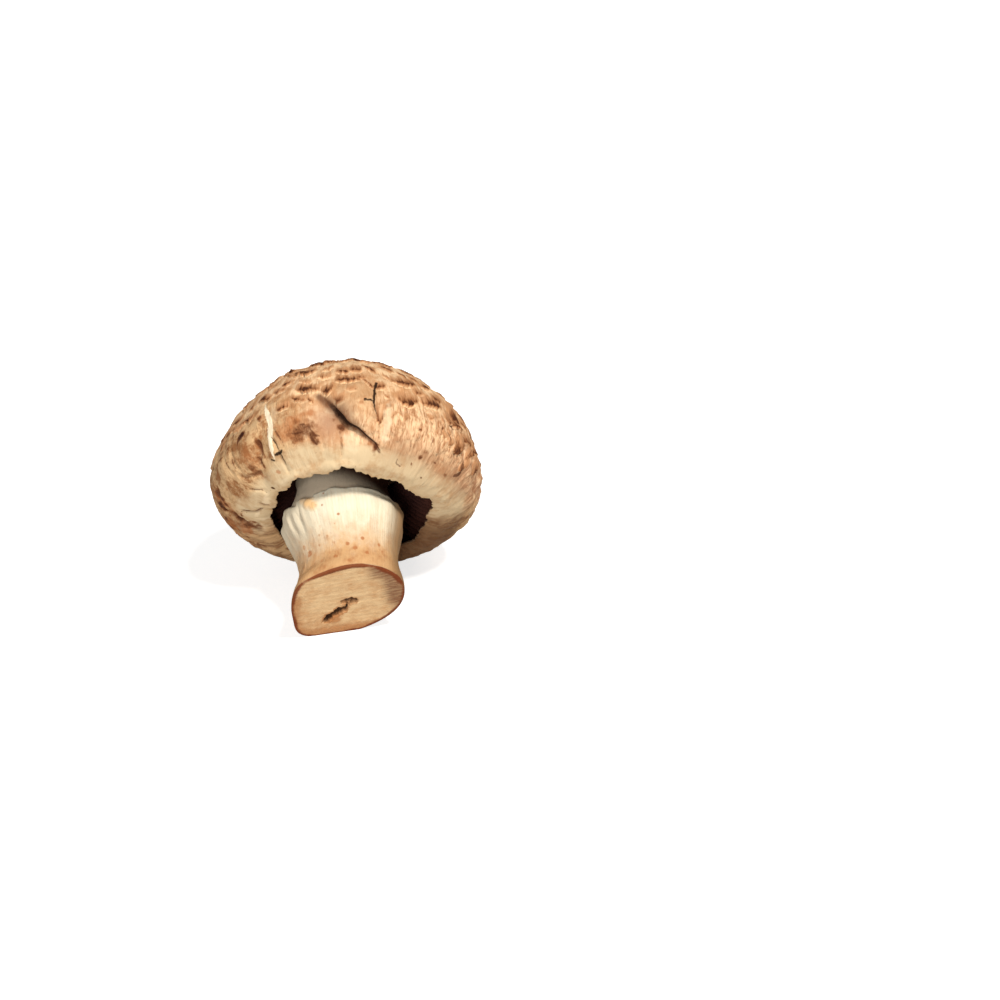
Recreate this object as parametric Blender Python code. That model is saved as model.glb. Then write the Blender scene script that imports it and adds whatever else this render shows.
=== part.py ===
"""A button mushroom lying on its side: a scaly cap, the gills under it, and a cut stem.

The mushroom is worked out upright round its own axis, in millimetres, with the crown up
and the cap's widest ring at height 0. An empty then lays it down. phi is the angle in
degrees round that axis, 0 on the side that ends up on top and growing towards +X. t is
the angle in degrees down the cap's section, 0 at the crown and 90 at the widest ring.
"""

import math

import bmesh
import bpy
import numpy as np
from mathutils import Matrix, Vector

MM = 0.001
GAP = 0.3
SEED = 7

# How it lies: tilt of its axis above the surface, and the widest ring's centre
TILT = 32.3
RING_CENTRE = (0.1, 1.5, 23.15)

# Cap
CAP_RADIUS = 26.8
CROWN_HEIGHT = 22.5
UNDER_DEPTH = 13.2
CAP_COLUMNS = 96
MARGIN_ANGLES = (115.0, 121.0, 128.0)
LIP_DROP = 0.9
FRINGE_RADIUS = 15.2
FRINGE_THICKNESS = 0.8
CEILING = 3.3

# Scales: the first row's t, the step in t from row to row, and how many go round in each row
FIRST_ROW = 14.0
ROW_STEP = 11.8
SCALES_ROUND = (12, 16, 24, 24, 24, 24, 24, 24, 24)
SCALE_HEIGHT = 0.6
SCALLOP = 4.2
STEP_WIDTH = 0.9

# Slow swellings and dents of the cap: phi, t, width in phi, width in t, height
LUMPS = (
    (-64.0, 106.0, 21.0, 15.0, 0.7),
    (-50.0, 70.0, 16.0, 12.0, -0.8),
    (62.0, 104.0, 20.0, 13.0, 0.35),
    (118.0, 62.0, 34.0, 22.0, 0.5),
    (-145.0, 66.0, 30.0, 20.0, -0.5),
    (20.0, 40.0, 26.0, 16.0, 0.3),
)

# The fold across the front and the valley on its left: start and end as phi, t
FOLD = ((-11.0, 83.0), (13.0, 122.0))
FOLD_HEIGHT = 0.9
VALLEY = ((-34.5, 94.0), (-56.0, 136.0))
VALLEY_DEPTH = 0.9

# Tears in the fringe of veil along the rim: phi, width, depth
NOTCHES = ((-4.0, 7.0, 3.4), (-37.0, 11.0, 2.4), (-83.0, 6.0, 0.8), (68.0, 8.0, 1.0), (150.0, 9.0, 1.6))

# Gills: full blades with a short one between each pair
BLADE_PAIRS = 26
BLADE_THICKNESS = 0.65
BLADE_FLARE = 0.15
GILL_BASE = 2.1
GILL_RADII = (10.6, 12.5, 15.0, 17.5, 20.0, 21.6, 22.7)
GILL_BASE_ENDS = (1.2, -0.5)
FULL_EDGE = (-0.6, -2.6, -4.4, -5.2, -4.9, -4.1, -2.7)
SHORT_EDGE = (2.1, 2.1, 1.0, -3.2, -4.4, -3.8, -2.6)
GILL_SHOULDER = (22.5, 1.3)
GILL_TOP_RADIUS = 20.4

# Stem: height, x and y of points on its own axis, which bends a little off the cap's
STEM_AXIS = ((-27.0, -1.3, -0.5), (-20.0, -0.6, -0.4), (-9.0, -1.6, -0.3), (3.0, -1.2, 0.0))
STEM_COLUMNS = 64
NECK = ((7.8, 3.0), (8.7, 2.3), (8.8, -2.0), (8.9, -6.0), (9.2, -8.9), (10.0, -10.4))
SLEEVE_RADIUS = 11.75
SLEEVE_TOP = -8.4
SLEEVE_WALL = 0.9
SLEEVE_RIBS = 16
SLEEVE_NOTCHES = (
    (-51.0, 8.0, 1.3),
    (-29.0, 6.0, 0.7),
    (60.0, 9.0, 0.8),
    (140.0, 12.0, 1.2),
    (-120.0, 10.0, 0.9),
)
SHANK = ((11.8, -11.2), (11.1, -13.8), (10.2, -16.6), (9.75, -19.4), (9.75, -22.4), (10.15, -24.6))
CUT_RADIUS = 10.6
CUT_DEPTH = 26.6
CUT_SLOPE = (-0.16, -0.14)
CUT_LOBES = ((-133.0, 20.0, 1.9), (-50.0, 18.0, 0.8), (45.0, 25.0, -0.4), (120.0, 28.0, 0.5))


def sind(angle):
    """Sine of an angle in degrees."""
    return np.sin(np.radians(angle))


def cosd(angle):
    """Cosine of an angle in degrees."""
    return np.cos(np.radians(angle))


def turned(phi, centre):
    """Angle from centre round to phi, between -180 and 180."""
    return (phi - centre + 180.0) % 360.0 - 180.0


def bell(distance, width):
    """1 at no distance, 0.37 one width away, then nothing."""
    return np.exp(-((distance / width) ** 2))


def beside(phi, t, line):
    """Millimetres to the right of a line drawn on the cap, and 0 to 1 along it."""
    start, end = line
    wide, tall = CAP_RADIUS * math.pi / 180.0, 0.37
    x, y = turned(phi, start[0]) * wide, (t - start[1]) * tall
    dx, dy = (end[0] - start[0]) * wide, (end[1] - start[1]) * tall
    length = math.hypot(dx, dy)
    return (x * dy - y * dx) / length, (x * dx + y * dy) / length**2


def lumps(phi, t):
    """Height of the cap's slow swellings: bells, one fold with a raised right side, one valley."""
    height = sum(rise * bell(turned(phi, p), wp) * bell(t - s, ws) for p, s, wp, ws, rise in LUMPS)
    right, along = beside(phi, t, FOLD)
    height = height + FOLD_HEIGHT * np.tanh(right / 0.9) * bell(right, 5.5) * bell(along - 0.5, 0.55)
    right, along = beside(phi, t, VALLEY)
    return height - VALLEY_DEPTH * bell(right, 1.8) * bell(along - 0.5, 0.6)


def cap_outside(phi, t, raised):
    """Point of the cap's outside: two half ellipses, a little out of round, raised along their normal."""
    depth = np.where(t < 90.0, CROWN_HEIGHT, UNDER_DEPTH)
    out_of_round = -0.015 * sind(2 * phi) + 0.016 * cosd(3 * phi) + 0.012 * sind(3 * phi)
    r = CAP_RADIUS * sind(t) * (1 + sind(t) ** 2 * out_of_round)
    z = depth * cosd(t)
    nr, nz = sind(t) * depth, cosd(t) * CAP_RADIUS
    size = np.hypot(nr, nz)
    height = lumps(phi, t) + raised
    return r + height * nr / size, z + height * nz / size


def scale_cover(phi, t):
    """How far the scales stand out: less in the smooth hollows and on the crown, not at all where it rests."""
    smooth = 0.8 * bell(turned(phi, -66.0), 34.0) * bell(t - 112.0, 24.0)
    smooth = smooth + 0.8 * bell(turned(phi, -20.0), 13.0) * bell(t - 110.0, 14.0)
    pressed = bell(turned(phi, 180.0), 18.0) * bell(t - 107.0, 16.0)
    return np.clip(1.0 - smooth - pressed, 0.0, 1.0) * np.interp(t, (15.0, 50.0), (0.35, 1.0))


def scale_rings(phi, rng):
    """Three rings for each row of scales: its foot, its back and its scalloped, raised tips."""
    rings = []
    foot = np.full_like(phi, FIRST_ROW - ROW_STEP)
    for row, count in enumerate(SCALES_ROUND):
        place = phi / 360.0 * count + 0.5 * (row % 2)
        number = np.floor(place).astype(int) % count
        x = 2.0 * (place - np.floor(place)) - 1.0
        longer = rng.uniform(-1.6, 1.4, count)[number]
        higher = rng.uniform(0.5, 1.2, count)[number]
        waver = 1.3 * sind(3 * phi + 25 * row)
        tip = FIRST_ROW + ROW_STEP * row + waver + longer * (1 - x**2) + SCALLOP * (0.4 - x**2)
        height = SCALE_HEIGHT * higher * (1 - 0.8 * x**2) * scale_cover(phi, tip)
        rings.append(cap_outside(phi, foot, 0.0))
        rings.append(cap_outside(phi, (foot + tip) / 2, 0.4 * height))
        rings.append(cap_outside(phi, tip, height))
        foot = tip + STEP_WIDTH
    rings.append(cap_outside(phi, foot, 0.0))
    return rings


def fringe_radius(phi):
    """Inner radius of the ragged veil along the rim: a ripple, and a notch at each tear."""
    ripple = 0.3 * sind(9 * phi + 60) + 0.25 * sind(14 * phi + 110)
    return FRINGE_RADIUS + ripple + sum(deep * bell(turned(phi, p), w) for p, w, deep in NOTCHES)


def cap_rings():
    """Rings of the cap from its crown, over the rim and its fringe, and up the inner wall to the ceiling."""
    phi = np.arange(CAP_COLUMNS) * 360.0 / CAP_COLUMNS
    flat = np.zeros_like(phi)
    rings = scale_rings(phi, np.random.default_rng(SEED))
    rings += [cap_outside(phi, flat + t, 0.0) for t in MARGIN_ANGLES]
    lip_r, lip_z = rings[-1]
    edge = fringe_radius(phi)
    for along in (0.4, 0.75, 1.0):
        drop = LIP_DROP * math.sin(0.8 * math.pi * along)
        rings.append((lip_r + (edge - lip_r) * along, lip_z - drop - 0.5 * along + 0.5 * along**2))
    top_of_fringe = rings[-1][1] + FRINGE_THICKNESS
    rings.append((edge + 0.15, top_of_fringe))
    rings.append((edge + 0.55 * (21.2 - edge), top_of_fringe + 0.25))
    for r, z in ((22.2, -5.0), (23.6, -1.5), (23.0, 1.6), (21.0, 3.1), (11.0, CEILING)):
        rings.append((flat + r, flat + z))
    return spin(rings, phi), (0, 0, CROWN_HEIGHT), (0, 0, CEILING)


def blade_angles(r):
    """Angles of the gills' columns at the radius r, worked out so that a blade keeps its thickness."""
    half = BLADE_THICKNESS / 2
    one_blade = np.degrees(np.array((-half - BLADE_FLARE, -half, half, half + BLADE_FLARE)) / r)
    sector = 360.0 / BLADE_PAIRS
    pair = np.concatenate((one_blade, one_blade + sector / 2))
    return (np.arange(BLADE_PAIRS)[:, None] * sector + pair).ravel()


def gill_rings():
    """Rings of the gills, outer edge to inner: a thin base with upright blades hanging from it."""
    base = np.array((GILL_BASE,) * (len(GILL_RADII) - 2) + GILL_BASE_ENDS)
    top = CEILING - GAP
    rings = [(GILL_RADII[0], top), (GILL_TOP_RADIUS, top), GILL_SHOULDER]
    for r, foot, full, short in reversed(list(zip(GILL_RADII, base, FULL_EDGE, SHORT_EDGE))):
        rings.append((r, np.tile((foot, full, full, foot, foot, short, short, foot), BLADE_PAIRS)))
    points = []
    for r, z in rings:
        phi = blade_angles(r)
        points.append(spin([(np.full_like(phi, r), np.full_like(phi, z))], phi)[0])
    return np.stack(points)


def stem_rings():
    """Rings of the stem from its top, into the crevice, over the sleeve's torn edge and down to the cut."""
    phi = np.arange(STEM_COLUMNS) * 360.0 / STEM_COLUMNS
    flat = np.zeros_like(phi)
    rings = [(flat + r, flat + z) for r, z in NECK]
    tear = sum(deep * bell(turned(phi, p), w) for p, w, deep in SLEEVE_NOTCHES)
    top = SLEEVE_TOP - tear + 0.25 * cosd(7 * phi + 70)
    edge = SLEEVE_RADIUS + 0.3 * sind(5 * phi + 20)
    rings.append((edge - SLEEVE_WALL, top - 0.3))
    rings.append((edge - 0.35, top))
    rings.append((edge, top - 0.5))
    ribs = 0.22 * sind(SLEEVE_RIBS * phi)
    wave = 0.2 * sind(2 * phi + 30) + 0.15 * sind(3 * phi)
    for number, (r, z) in enumerate(SHANK):
        rings.append((r + ribs * 0.6**number + wave, flat + z))
    lobe = sum(out * bell(turned(phi, p), w) for p, w, out in CUT_LOBES)
    r = CUT_RADIUS + lobe
    rings += [cut_ring(phi, r, 0.0), cut_ring(phi, r - 0.5, 0.25), cut_ring(phi, r * 0.5, 0.1)]
    points = spin(rings, phi)
    points[..., :2] += axis_at(points[..., 2])
    top, end = CEILING - GAP, -CUT_DEPTH
    return points, (*axis_at(top), top), (*axis_at(end), end)


def axis_at(z):
    """x and y of the stem's bent axis at the height z."""
    height, x, y = np.array(STEM_AXIS).T
    return np.stack((np.interp(z, height, x), np.interp(z, height, y)), axis=-1)


def cut_ring(phi, r, bulge):
    """A ring on the slanted cut, bulged outwards a little: the knife went through at CUT_SLOPE."""
    slope = CUT_SLOPE[0] * r * sind(phi) + CUT_SLOPE[1] * r * cosd(phi)
    return r, -(CUT_DEPTH + slope + bulge)


def spin(rings, phi):
    """Rings of r and z at the angles phi as points, shape (rings, columns, 3)."""
    return np.stack([np.stack((r * sind(phi), -r * cosd(phi), z), axis=-1) for r, z in rings])


def skin(points, ends):
    """Points and faces of a closed skin through rings: a fan at each end, or last ring to first."""
    count, columns = points.shape[:2]
    ring = np.arange(count if ends is None else count - 1)[:, None] * columns
    column = np.arange(columns)
    after = (column + 1) % columns
    low, high = ring, (ring + columns) % (count * columns)
    quads = np.stack((low + column, high + column, high + after, low + after), axis=-1)
    vertices = points.reshape(-1, 3).tolist()
    faces = quads.reshape(-1, 4).tolist()
    if ends is not None:
        first, last = len(vertices), len(vertices) + 1
        vertices += [list(end) for end in ends]
        bottom = (count - 1) * columns
        faces += [[first, a, b] for a, b in zip(column.tolist(), after.tolist())]
        faces += [[last, bottom + b, bottom + a] for a, b in zip(column.tolist(), after.tolist())]
    return vertices, faces


def lie_down():
    """The empty that lays the mushroom on the surface, on the rim of its cap and the end of its stem."""
    empty = bpy.data.objects.new("lie", None)
    bpy.context.scene.collection.objects.link(empty)
    empty.matrix_world = Matrix.Translation(Vector(RING_CENTRE) * MM) @ Matrix.Rotation(
        math.radians(TILT - 90.0), 4, "X"
    )
    return empty


def material(name, colour, roughness):
    """A Principled material of one colour and roughness."""
    made = bpy.data.materials.new(name)
    made.use_nodes = True
    shader = made.node_tree.nodes["Principled BSDF"]
    shader.inputs["Base Color"].default_value = (*colour, 1.0)
    shader.inputs["Roughness"].default_value = roughness
    shader.inputs["Metallic"].default_value = 0.0
    return made


def flatten_under(bm, lie):
    """Cuts off what would reach below the surface, and closes the cut with a flat spot."""
    to_local = lie.matrix_world.inverted()
    cut = bmesh.ops.bisect_plane(
        bm,
        geom=bm.verts[:] + bm.edges[:] + bm.faces[:],
        plane_co=to_local @ Vector((0, 0, 0)),
        plane_no=to_local.to_3x3() @ Vector((0, 0, -1)),
        clear_outer=True,
    )
    edges = [item for item in cut["geom_cut"] if isinstance(item, bmesh.types.BMEdge)]
    if edges:
        bmesh.ops.holes_fill(bm, edges=edges, sides=0)


def piece(name, points, ends, lie, finish):
    """One closed object from rings, flattened where it rests and laid down by the empty."""
    vertices, faces = skin(points * MM, None if ends is None else [np.array(end) * MM for end in ends])
    mesh = bpy.data.meshes.new(name)
    mesh.from_pydata(vertices, [], faces)
    bm = bmesh.new()
    bm.from_mesh(mesh)
    flatten_under(bm, lie)
    bmesh.ops.recalc_face_normals(bm, faces=bm.faces[:])
    bm.to_mesh(mesh)
    bm.free()
    mesh.shade_smooth()
    mesh.set_sharp_from_angle(angle=math.radians(40.0))
    mesh.materials.append(finish)
    made = bpy.data.objects.new(name, mesh)
    bpy.context.scene.collection.objects.link(made)
    made.parent = lie
    return made


for old in list(bpy.data.objects):
    bpy.data.objects.remove(old)

lie = lie_down()
cap_points, crown, ceiling = cap_rings()
stem_points, stem_top, stem_end = stem_rings()
piece("cap", cap_points, (crown, ceiling), lie, material("cap_skin", (0.72, 0.52, 0.35), 0.75))
piece("gills", gill_rings(), None, lie, material("gill_brown", (0.10, 0.045, 0.03), 0.85))
piece("stem", stem_points, (stem_top, stem_end), lie, material("stem_cream", (0.85, 0.70, 0.50), 0.8))
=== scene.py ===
# %% [markdown]
# # A button mushroom lying on its side
#
# A cultivated mushroom has three organs: a fleshy cap with a scaly skin, dark gills that hang under it, and
# a short stem with the torn remains of a veil round its upper part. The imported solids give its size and
# place. This lesson grows a fine skin for each organ over them. Everything is worked out on grids: a point
# of the skin is a function of phi, the angle round the mushroom's axis, and of the distance along its
# section. So a scale, a fold or a stain is only a few numbers.

# %% Load the frame
import math

import bpy
import numpy as np
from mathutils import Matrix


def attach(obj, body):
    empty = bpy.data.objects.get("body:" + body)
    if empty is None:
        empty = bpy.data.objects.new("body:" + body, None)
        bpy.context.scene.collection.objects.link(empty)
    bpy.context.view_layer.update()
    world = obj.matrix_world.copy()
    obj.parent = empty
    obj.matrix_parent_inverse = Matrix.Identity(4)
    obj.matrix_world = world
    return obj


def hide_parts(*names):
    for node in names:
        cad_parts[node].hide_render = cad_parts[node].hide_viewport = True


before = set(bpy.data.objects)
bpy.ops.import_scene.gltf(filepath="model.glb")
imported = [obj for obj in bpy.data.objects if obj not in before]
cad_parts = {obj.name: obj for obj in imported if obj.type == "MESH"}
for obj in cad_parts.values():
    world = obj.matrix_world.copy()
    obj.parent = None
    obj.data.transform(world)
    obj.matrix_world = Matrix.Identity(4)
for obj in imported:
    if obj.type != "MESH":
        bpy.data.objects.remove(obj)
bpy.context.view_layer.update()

# %% [markdown]
# ## Where it lies
#
# The mushroom is worked out upright, in millimetres, with its crown up and its widest ring at height 0.
# Then it is laid down: the axis tilts back until only a third of a right angle is left above the
# surface, and the widest ring's centre comes to rest at RING_CENTRE. What would sink into the surface is
# pressed flat, as the soft flesh of a real one is.

# %% Units, angles and the lying place
MM = 0.001
TILT = 32.3
RING_CENTRE = (0.1, 1.5, 23.15)


def sind(angle):
    """Sine of an angle in degrees."""
    return np.sin(np.radians(angle))


def cosd(angle):
    """Cosine of an angle in degrees."""
    return np.cos(np.radians(angle))


def laid_down(points):
    """Upright points in mm to lying ones in metres: a turn about X, a move, and no lower than the floor."""
    lean = TILT - 90.0
    x, y, z = np.moveaxis(points, -1, 0)
    lying = np.stack((x, y * cosd(lean) - z * sind(lean), y * sind(lean) + z * cosd(lean)), axis=-1)
    lying = lying + RING_CENTRE
    lying[..., 2] = np.maximum(lying[..., 2], 0.0)
    return lying * MM


# %% [markdown]
# ## Camera
#
# The photograph looks down at the mushroom from the stem's end, and the mushroom sits left of the middle of
# the picture. Instead of shifting the lens, the camera is turned until the centre of the widest ring falls
# on the pixel where the photograph has it.

# %% Camera
PICTURE = 1000
RING_PIXEL = (348.9, 482.5)
LENS, SENSOR = 60.0, 36.0
CAMERA_RISE = 26.0
CAMERA_DISTANCE = 333.4


def aim_camera():
    """Puts the camera CAMERA_DISTANCE from the ring's centre and turns it: the pitch and yaw that bring the
    direction of that centre, (right, up, forward) in the camera, onto RING_PIXEL."""
    focal = LENS / SENSOR * PICTURE
    ray = np.array([RING_PIXEL[0] - PICTURE / 2, PICTURE / 2 - RING_PIXEL[1], focal])
    right, up, forward = ray / np.linalg.norm(ray)
    pitch = math.asin(-sind(CAMERA_RISE) / math.hypot(up, forward)) - math.atan2(up, forward)
    level = forward * math.cos(pitch) - up * math.sin(pitch)
    yaw = -math.atan2(right, level)
    camera = bpy.data.objects.new("camera", bpy.data.cameras.new("camera"))
    camera.data.lens, camera.data.sensor_width = LENS, SENSOR
    camera.data.clip_start, camera.data.clip_end = 0.01, 50.0
    away = CAMERA_DISTANCE * np.array([0.0, -cosd(CAMERA_RISE), sind(CAMERA_RISE)])
    camera.location = (np.array(RING_CENTRE) + away) * MM
    camera.rotation_euler = (math.pi / 2 + pitch, 0.0, -yaw)
    bpy.context.scene.collection.objects.link(camera)
    bpy.context.scene.camera = camera
    print("camera pitch and yaw:", round(math.degrees(pitch), 2), round(math.degrees(yaw), 2))
    return camera


camera = aim_camera()

# %% [markdown]
# ## Places read off the photograph
#
# A scale or a stain is easiest to read off the photograph as a pixel. So each organ's plain form is laid out
# as a grid of points, the camera says on which pixel it sees each of them, and the point nearest to a pixel
# that was read gives the mark its real place on the skin. From there on everything is in millimetres.

# %% From a pixel to the skin
CAMERA_PLACE = np.array(camera.location) / MM
CAMERA_TURN = np.array(camera.rotation_euler.to_matrix())


def seen_from(points):
    """Pixels to the right and down on which the camera sees a grid of upright points, and which of them face it."""
    sight = laid_down(points) / MM - CAMERA_PLACE
    right, up, back = np.moveaxis(sight @ CAMERA_TURN, -1, 0)
    outward = np.cross(np.gradient(sight, axis=0), np.gradient(sight, axis=1))
    focal = LENS / SENSOR * PICTURE
    return PICTURE / 2 - focal * right / back, PICTURE / 2 + focal * up / back, (outward * sight).sum(axis=-1) < 0.0


def nearest_seen(seen, pixel):
    """Row and column of the grid point that faces the camera and lies nearest to the pixel in the picture."""
    x, y, facing = seen
    off = np.where(facing, np.hypot(x - pixel[0], y - pixel[1]), 1e9)
    return np.unravel_index(off.argmin(), off.shape)


# %% [markdown]
# ## Floor and light
#
# The photograph is a cut-out on white, so the floor looks like a white light table and its shadow is faint. But
# a table that bright would also light the mushroom from below, which the photograph doesn't show. So the floor
# glows only for rays that come straight from the camera, and for light that bounces it is a plain grey. The
# main light comes from high on the right, as the photograph's highlights say. It is a sun with a wide disc,
# because a sun lights the whole floor alike, and the wide disc keeps its shadows soft. A weaker panel low in
# front reaches in under the cap, and a white sky fills the rest.

# %% Floor, lights and sky


def plain_material(name, colour, roughness):
    """A material of one colour, for the stage only."""
    made = bpy.data.materials.new(name)
    made.use_nodes = True
    shader = made.node_tree.nodes["Principled BSDF"]
    shader.inputs["Base Color"].default_value = (*colour, 1.0)
    shader.inputs["Roughness"].default_value = roughness
    shader.inputs["Specular IOR Level"].default_value = 0.2
    return made


def lay_floor():
    """A large square on which the mushroom lies."""
    half = 4.0
    mesh = bpy.data.meshes.new("floor")
    corners = [(-half, -half, 0.0), (half, -half, 0.0), (half, half, 0.0), (-half, half, 0.0)]
    mesh.from_pydata(corners, [], [(0, 1, 2, 3)])
    white = plain_material("floor_white", (0.60, 0.60, 0.59), 0.9)
    tree = white.node_tree
    surface = tree.nodes["Principled BSDF"].inputs
    surface["Emission Color"].default_value = (1.0, 1.0, 1.0, 1.0)
    glow = tree.nodes.new("ShaderNodeMath")
    glow.operation = "MULTIPLY"
    glow.inputs[1].default_value = 0.74
    tree.links.new(tree.nodes.new("ShaderNodeLightPath").outputs["Is Camera Ray"], glow.inputs[0])
    tree.links.new(glow.outputs[0], surface["Emission Strength"])
    mesh.materials.append(white)
    floor = bpy.data.objects.new("floor", mesh)
    bpy.context.scene.collection.objects.link(floor)


def add_light(name, kind, azimuth, rise, strength, colour, **size):
    """A light at that angle round the mushroom (0 is the camera's side, growing to the right) and above it."""
    light = bpy.data.lights.new(name, kind)
    light.energy, light.color = strength, colour
    for key, value in size.items():
        setattr(light, key, value)
    lamp = bpy.data.objects.new(name, light)
    away = np.array((cosd(rise) * sind(azimuth), -cosd(rise) * cosd(azimuth), sind(rise)))
    lamp.location = 0.7 * away
    lamp.rotation_euler = (math.radians(90.0 - rise), 0.0, math.radians(azimuth))
    bpy.context.scene.collection.objects.link(lamp)


lay_floor()
add_light("key_lamp", "SUN", 36.0, 60.0, 2.8, (1.0, 0.965, 0.91), angle=math.radians(8.0))
add_light("fill_panel", "AREA", -14.0, 21.0, 2.3, (0.98, 0.98, 1.0), size=0.2)

world = bpy.data.worlds.new("studio_sky")
world.use_nodes = True
world.node_tree.nodes["Background"].inputs["Color"].default_value = (1.0, 1.0, 1.0, 1.0)
world.node_tree.nodes["Background"].inputs["Strength"].default_value = 0.22
bpy.context.scene.world = world
bpy.context.scene.view_settings.view_transform = "Standard"

# %% [markdown]
# ## Helpers for living surfaces
#
# Three small tools shape everything below. bell is a soft bump, smooth is an S-shaped step, and soft_noise
# gives irregularity: random numbers on a coarse grid, blended smoothly, which wrap round the mushroom so no
# seam shows. The random numbers are seeded, so each run grows the same mushroom.

# %% Bump, step and noise


def bell(distance, width):
    """1 at no distance, 0.37 one width away, then nothing."""
    return np.exp(-((distance / width) ** 2))


def smooth(x, start=0.0, end=1.0):
    """0 up to start, 1 from end on, and 3x^2 - 2x^3 between."""
    x = np.clip((x - start) / (end - start), 0.0, 1.0)
    return x * x * (3.0 - 2.0 * x)


def turned(phi, centre):
    """Angle from centre round to phi, between -180 and 180."""
    return (phi - centre + 180.0) % 360.0 - 180.0


def soft_noise(phi, along, count, seed):
    """Random values from -1 to 1 on count cells round and unit cells along, blended by smooth."""
    across = phi / 360.0 * count
    table = np.random.default_rng(seed).uniform(-1.0, 1.0, (int(along.max()) + 3, count))
    row, column = np.floor(along).astype(int), np.floor(across).astype(int)
    up, over = smooth(along - row), smooth(across - column)
    left, right = column % count, (column + 1) % count
    low = table[row, left] * (1.0 - over) + table[row, right] * over
    high = table[row + 1, left] * (1.0 - over) + table[row + 1, right] * over
    return low * (1.0 - up) + high * up


# %% [markdown]
# ## From rings to a mesh
#
# Each organ is a stack of closed rings, so one function makes all three meshes. It joins ring to ring with
# quads and closes both ends with a fan, or joins the last ring to the first. Masks, such as how brown a
# scale is, are stored at the points as attributes. The distances round and along the skin go into a UV map,
# in millimetres, so that a material can draw a fine line where it wants.

# %% Mesh maker


def spin(r, phi, z):
    """Points (r sin phi, -r cos phi, z): phi 0 ends up on top of the lying mushroom."""
    r, phi, z = np.broadcast_arrays(r, phi, z)
    return np.stack((r * sind(phi), -r * cosd(phi), z), axis=-1)


def grow_skin(name, points, ends, masks, sheet):
    """An object with a closed skin through rings of points, shape (rings, columns, 3), in upright mm. ends
    are its two poles, or None. masks are arrays of one value a point. sheet is (u, v) for one more column."""
    count, columns = points.shape[:2]
    ring = np.arange(count if ends is None else count - 1)[:, None]
    column = np.arange(columns)
    after = (column + 1) % columns
    low, high = ring * columns, (ring + 1) % count * columns
    faces = np.stack((low + column, high + column, high + after, low + after), axis=-1).reshape(-1, 4).tolist()
    corners_ring = np.stack((ring + 0 * column, ring + 1 + 0 * column, ring + 1 + 0 * column, ring + 0 * column), axis=-1)
    corners_column = np.stack((column, column, column + 1, column + 1), axis=-1) + 0 * ring[..., None]
    flat = points.reshape(-1, 3)
    corners = [corners_ring.reshape(-1), corners_column.reshape(-1)]
    if ends is not None:
        total = count * columns
        bottom = total - columns
        flat = np.concatenate((flat, np.array(ends, float)))
        faces += np.stack((0 * column + total, column, after), axis=-1).tolist()
        faces += np.stack((0 * column + total + 1, bottom + after, bottom + column), axis=-1).tolist()
        first, last = 0 * column, 0 * column + count - 1
        corners[0] = np.concatenate((corners[0], np.repeat(first, 3), np.repeat(last, 3)))
        fan = np.stack((column, column, column + 1), axis=-1).reshape(-1)
        back = np.stack((column, column + 1, column), axis=-1).reshape(-1)
        corners[1] = np.concatenate((corners[1], fan, back))
    mesh = bpy.data.meshes.new(name)
    mesh.from_pydata(laid_down(flat), [], faces)
    for key, values in masks.items():
        values = np.asarray(values, float)
        size = values.shape[-1] if values.ndim == 3 else 1
        values = values.reshape(count * columns, size)
        if ends is not None:
            poles = (values[:columns].mean(axis=0), values[-columns:].mean(axis=0))
            values = np.concatenate((values, np.stack(poles)))
        kind, field = ("FLOAT_VECTOR", "vector") if size == 3 else ("FLOAT", "value")
        mesh.attributes.new(key, kind, "POINT").data.foreach_set(field, values.reshape(-1))
    if sheet is not None:
        rows = np.minimum(corners[0], sheet[0].shape[0] - 1)
        place = np.stack((sheet[0][rows, corners[1]], sheet[1][rows, corners[1]]), axis=-1)
        mesh.uv_layers.new(name="skin_mm").data.foreach_set("uv", place.reshape(-1))
    mesh.shade_smooth()
    made = bpy.data.objects.new(name, mesh)
    bpy.context.scene.collection.objects.link(made)
    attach(made, "root")
    print(name, "has", 2 * len(faces), "triangles at most")
    return made


# %% [markdown]
# ## The cap's form
#
# A cap could be sculpted, but its form is simple enough to write down: two half ellipses, a tall one above
# the widest ring and a flat one below it, a little out of round, with a few slow swellings. The solid uses
# the same numbers, so this skin lies where it lies. The grid's rings are evenly spaced along the section,
# and go on over the lip that curls in under the rim. Its columns stand closer together on the side that
# faces the camera.

# %% Cap grid
CAP_RADIUS, CROWN_HEIGHT, UNDER_DEPTH = 26.8, 22.5, 13.2
LUMPS = (
    (-64.0, 106.0, 21.0, 15.0, 0.7),
    (-50.0, 70.0, 16.0, 12.0, -0.8),
    (62.0, 104.0, 20.0, 13.0, 0.35),
    (118.0, 62.0, 34.0, 22.0, 0.5),
    (-145.0, 66.0, 30.0, 20.0, -0.5),
    (20.0, 40.0, 26.0, 16.0, 0.3),
)
WIDE = math.radians(CAP_RADIUS)
CAP_COLUMNS, CAP_ROWS = 464, 176
CROWD = 14.0
FIRST_T, MARGIN_T = 0.6, 128.0
LIP_ROWS, LIP_LENGTH = 22, 6.3

section_t = np.linspace(0.0, 150.0, 3001)
section_depth = np.where(section_t < 90.0, CROWN_HEIGHT, UNDER_DEPTH)
section_step = np.hypot(CAP_RADIUS * cosd(section_t), section_depth * sind(section_t)) * math.radians(0.05)
section_v = np.cumsum(section_step) - section_step[0]


def along_section(t):
    """Millimetres along the cap's section from the crown to the angle t."""
    return np.interp(t, section_t, section_v)


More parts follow.
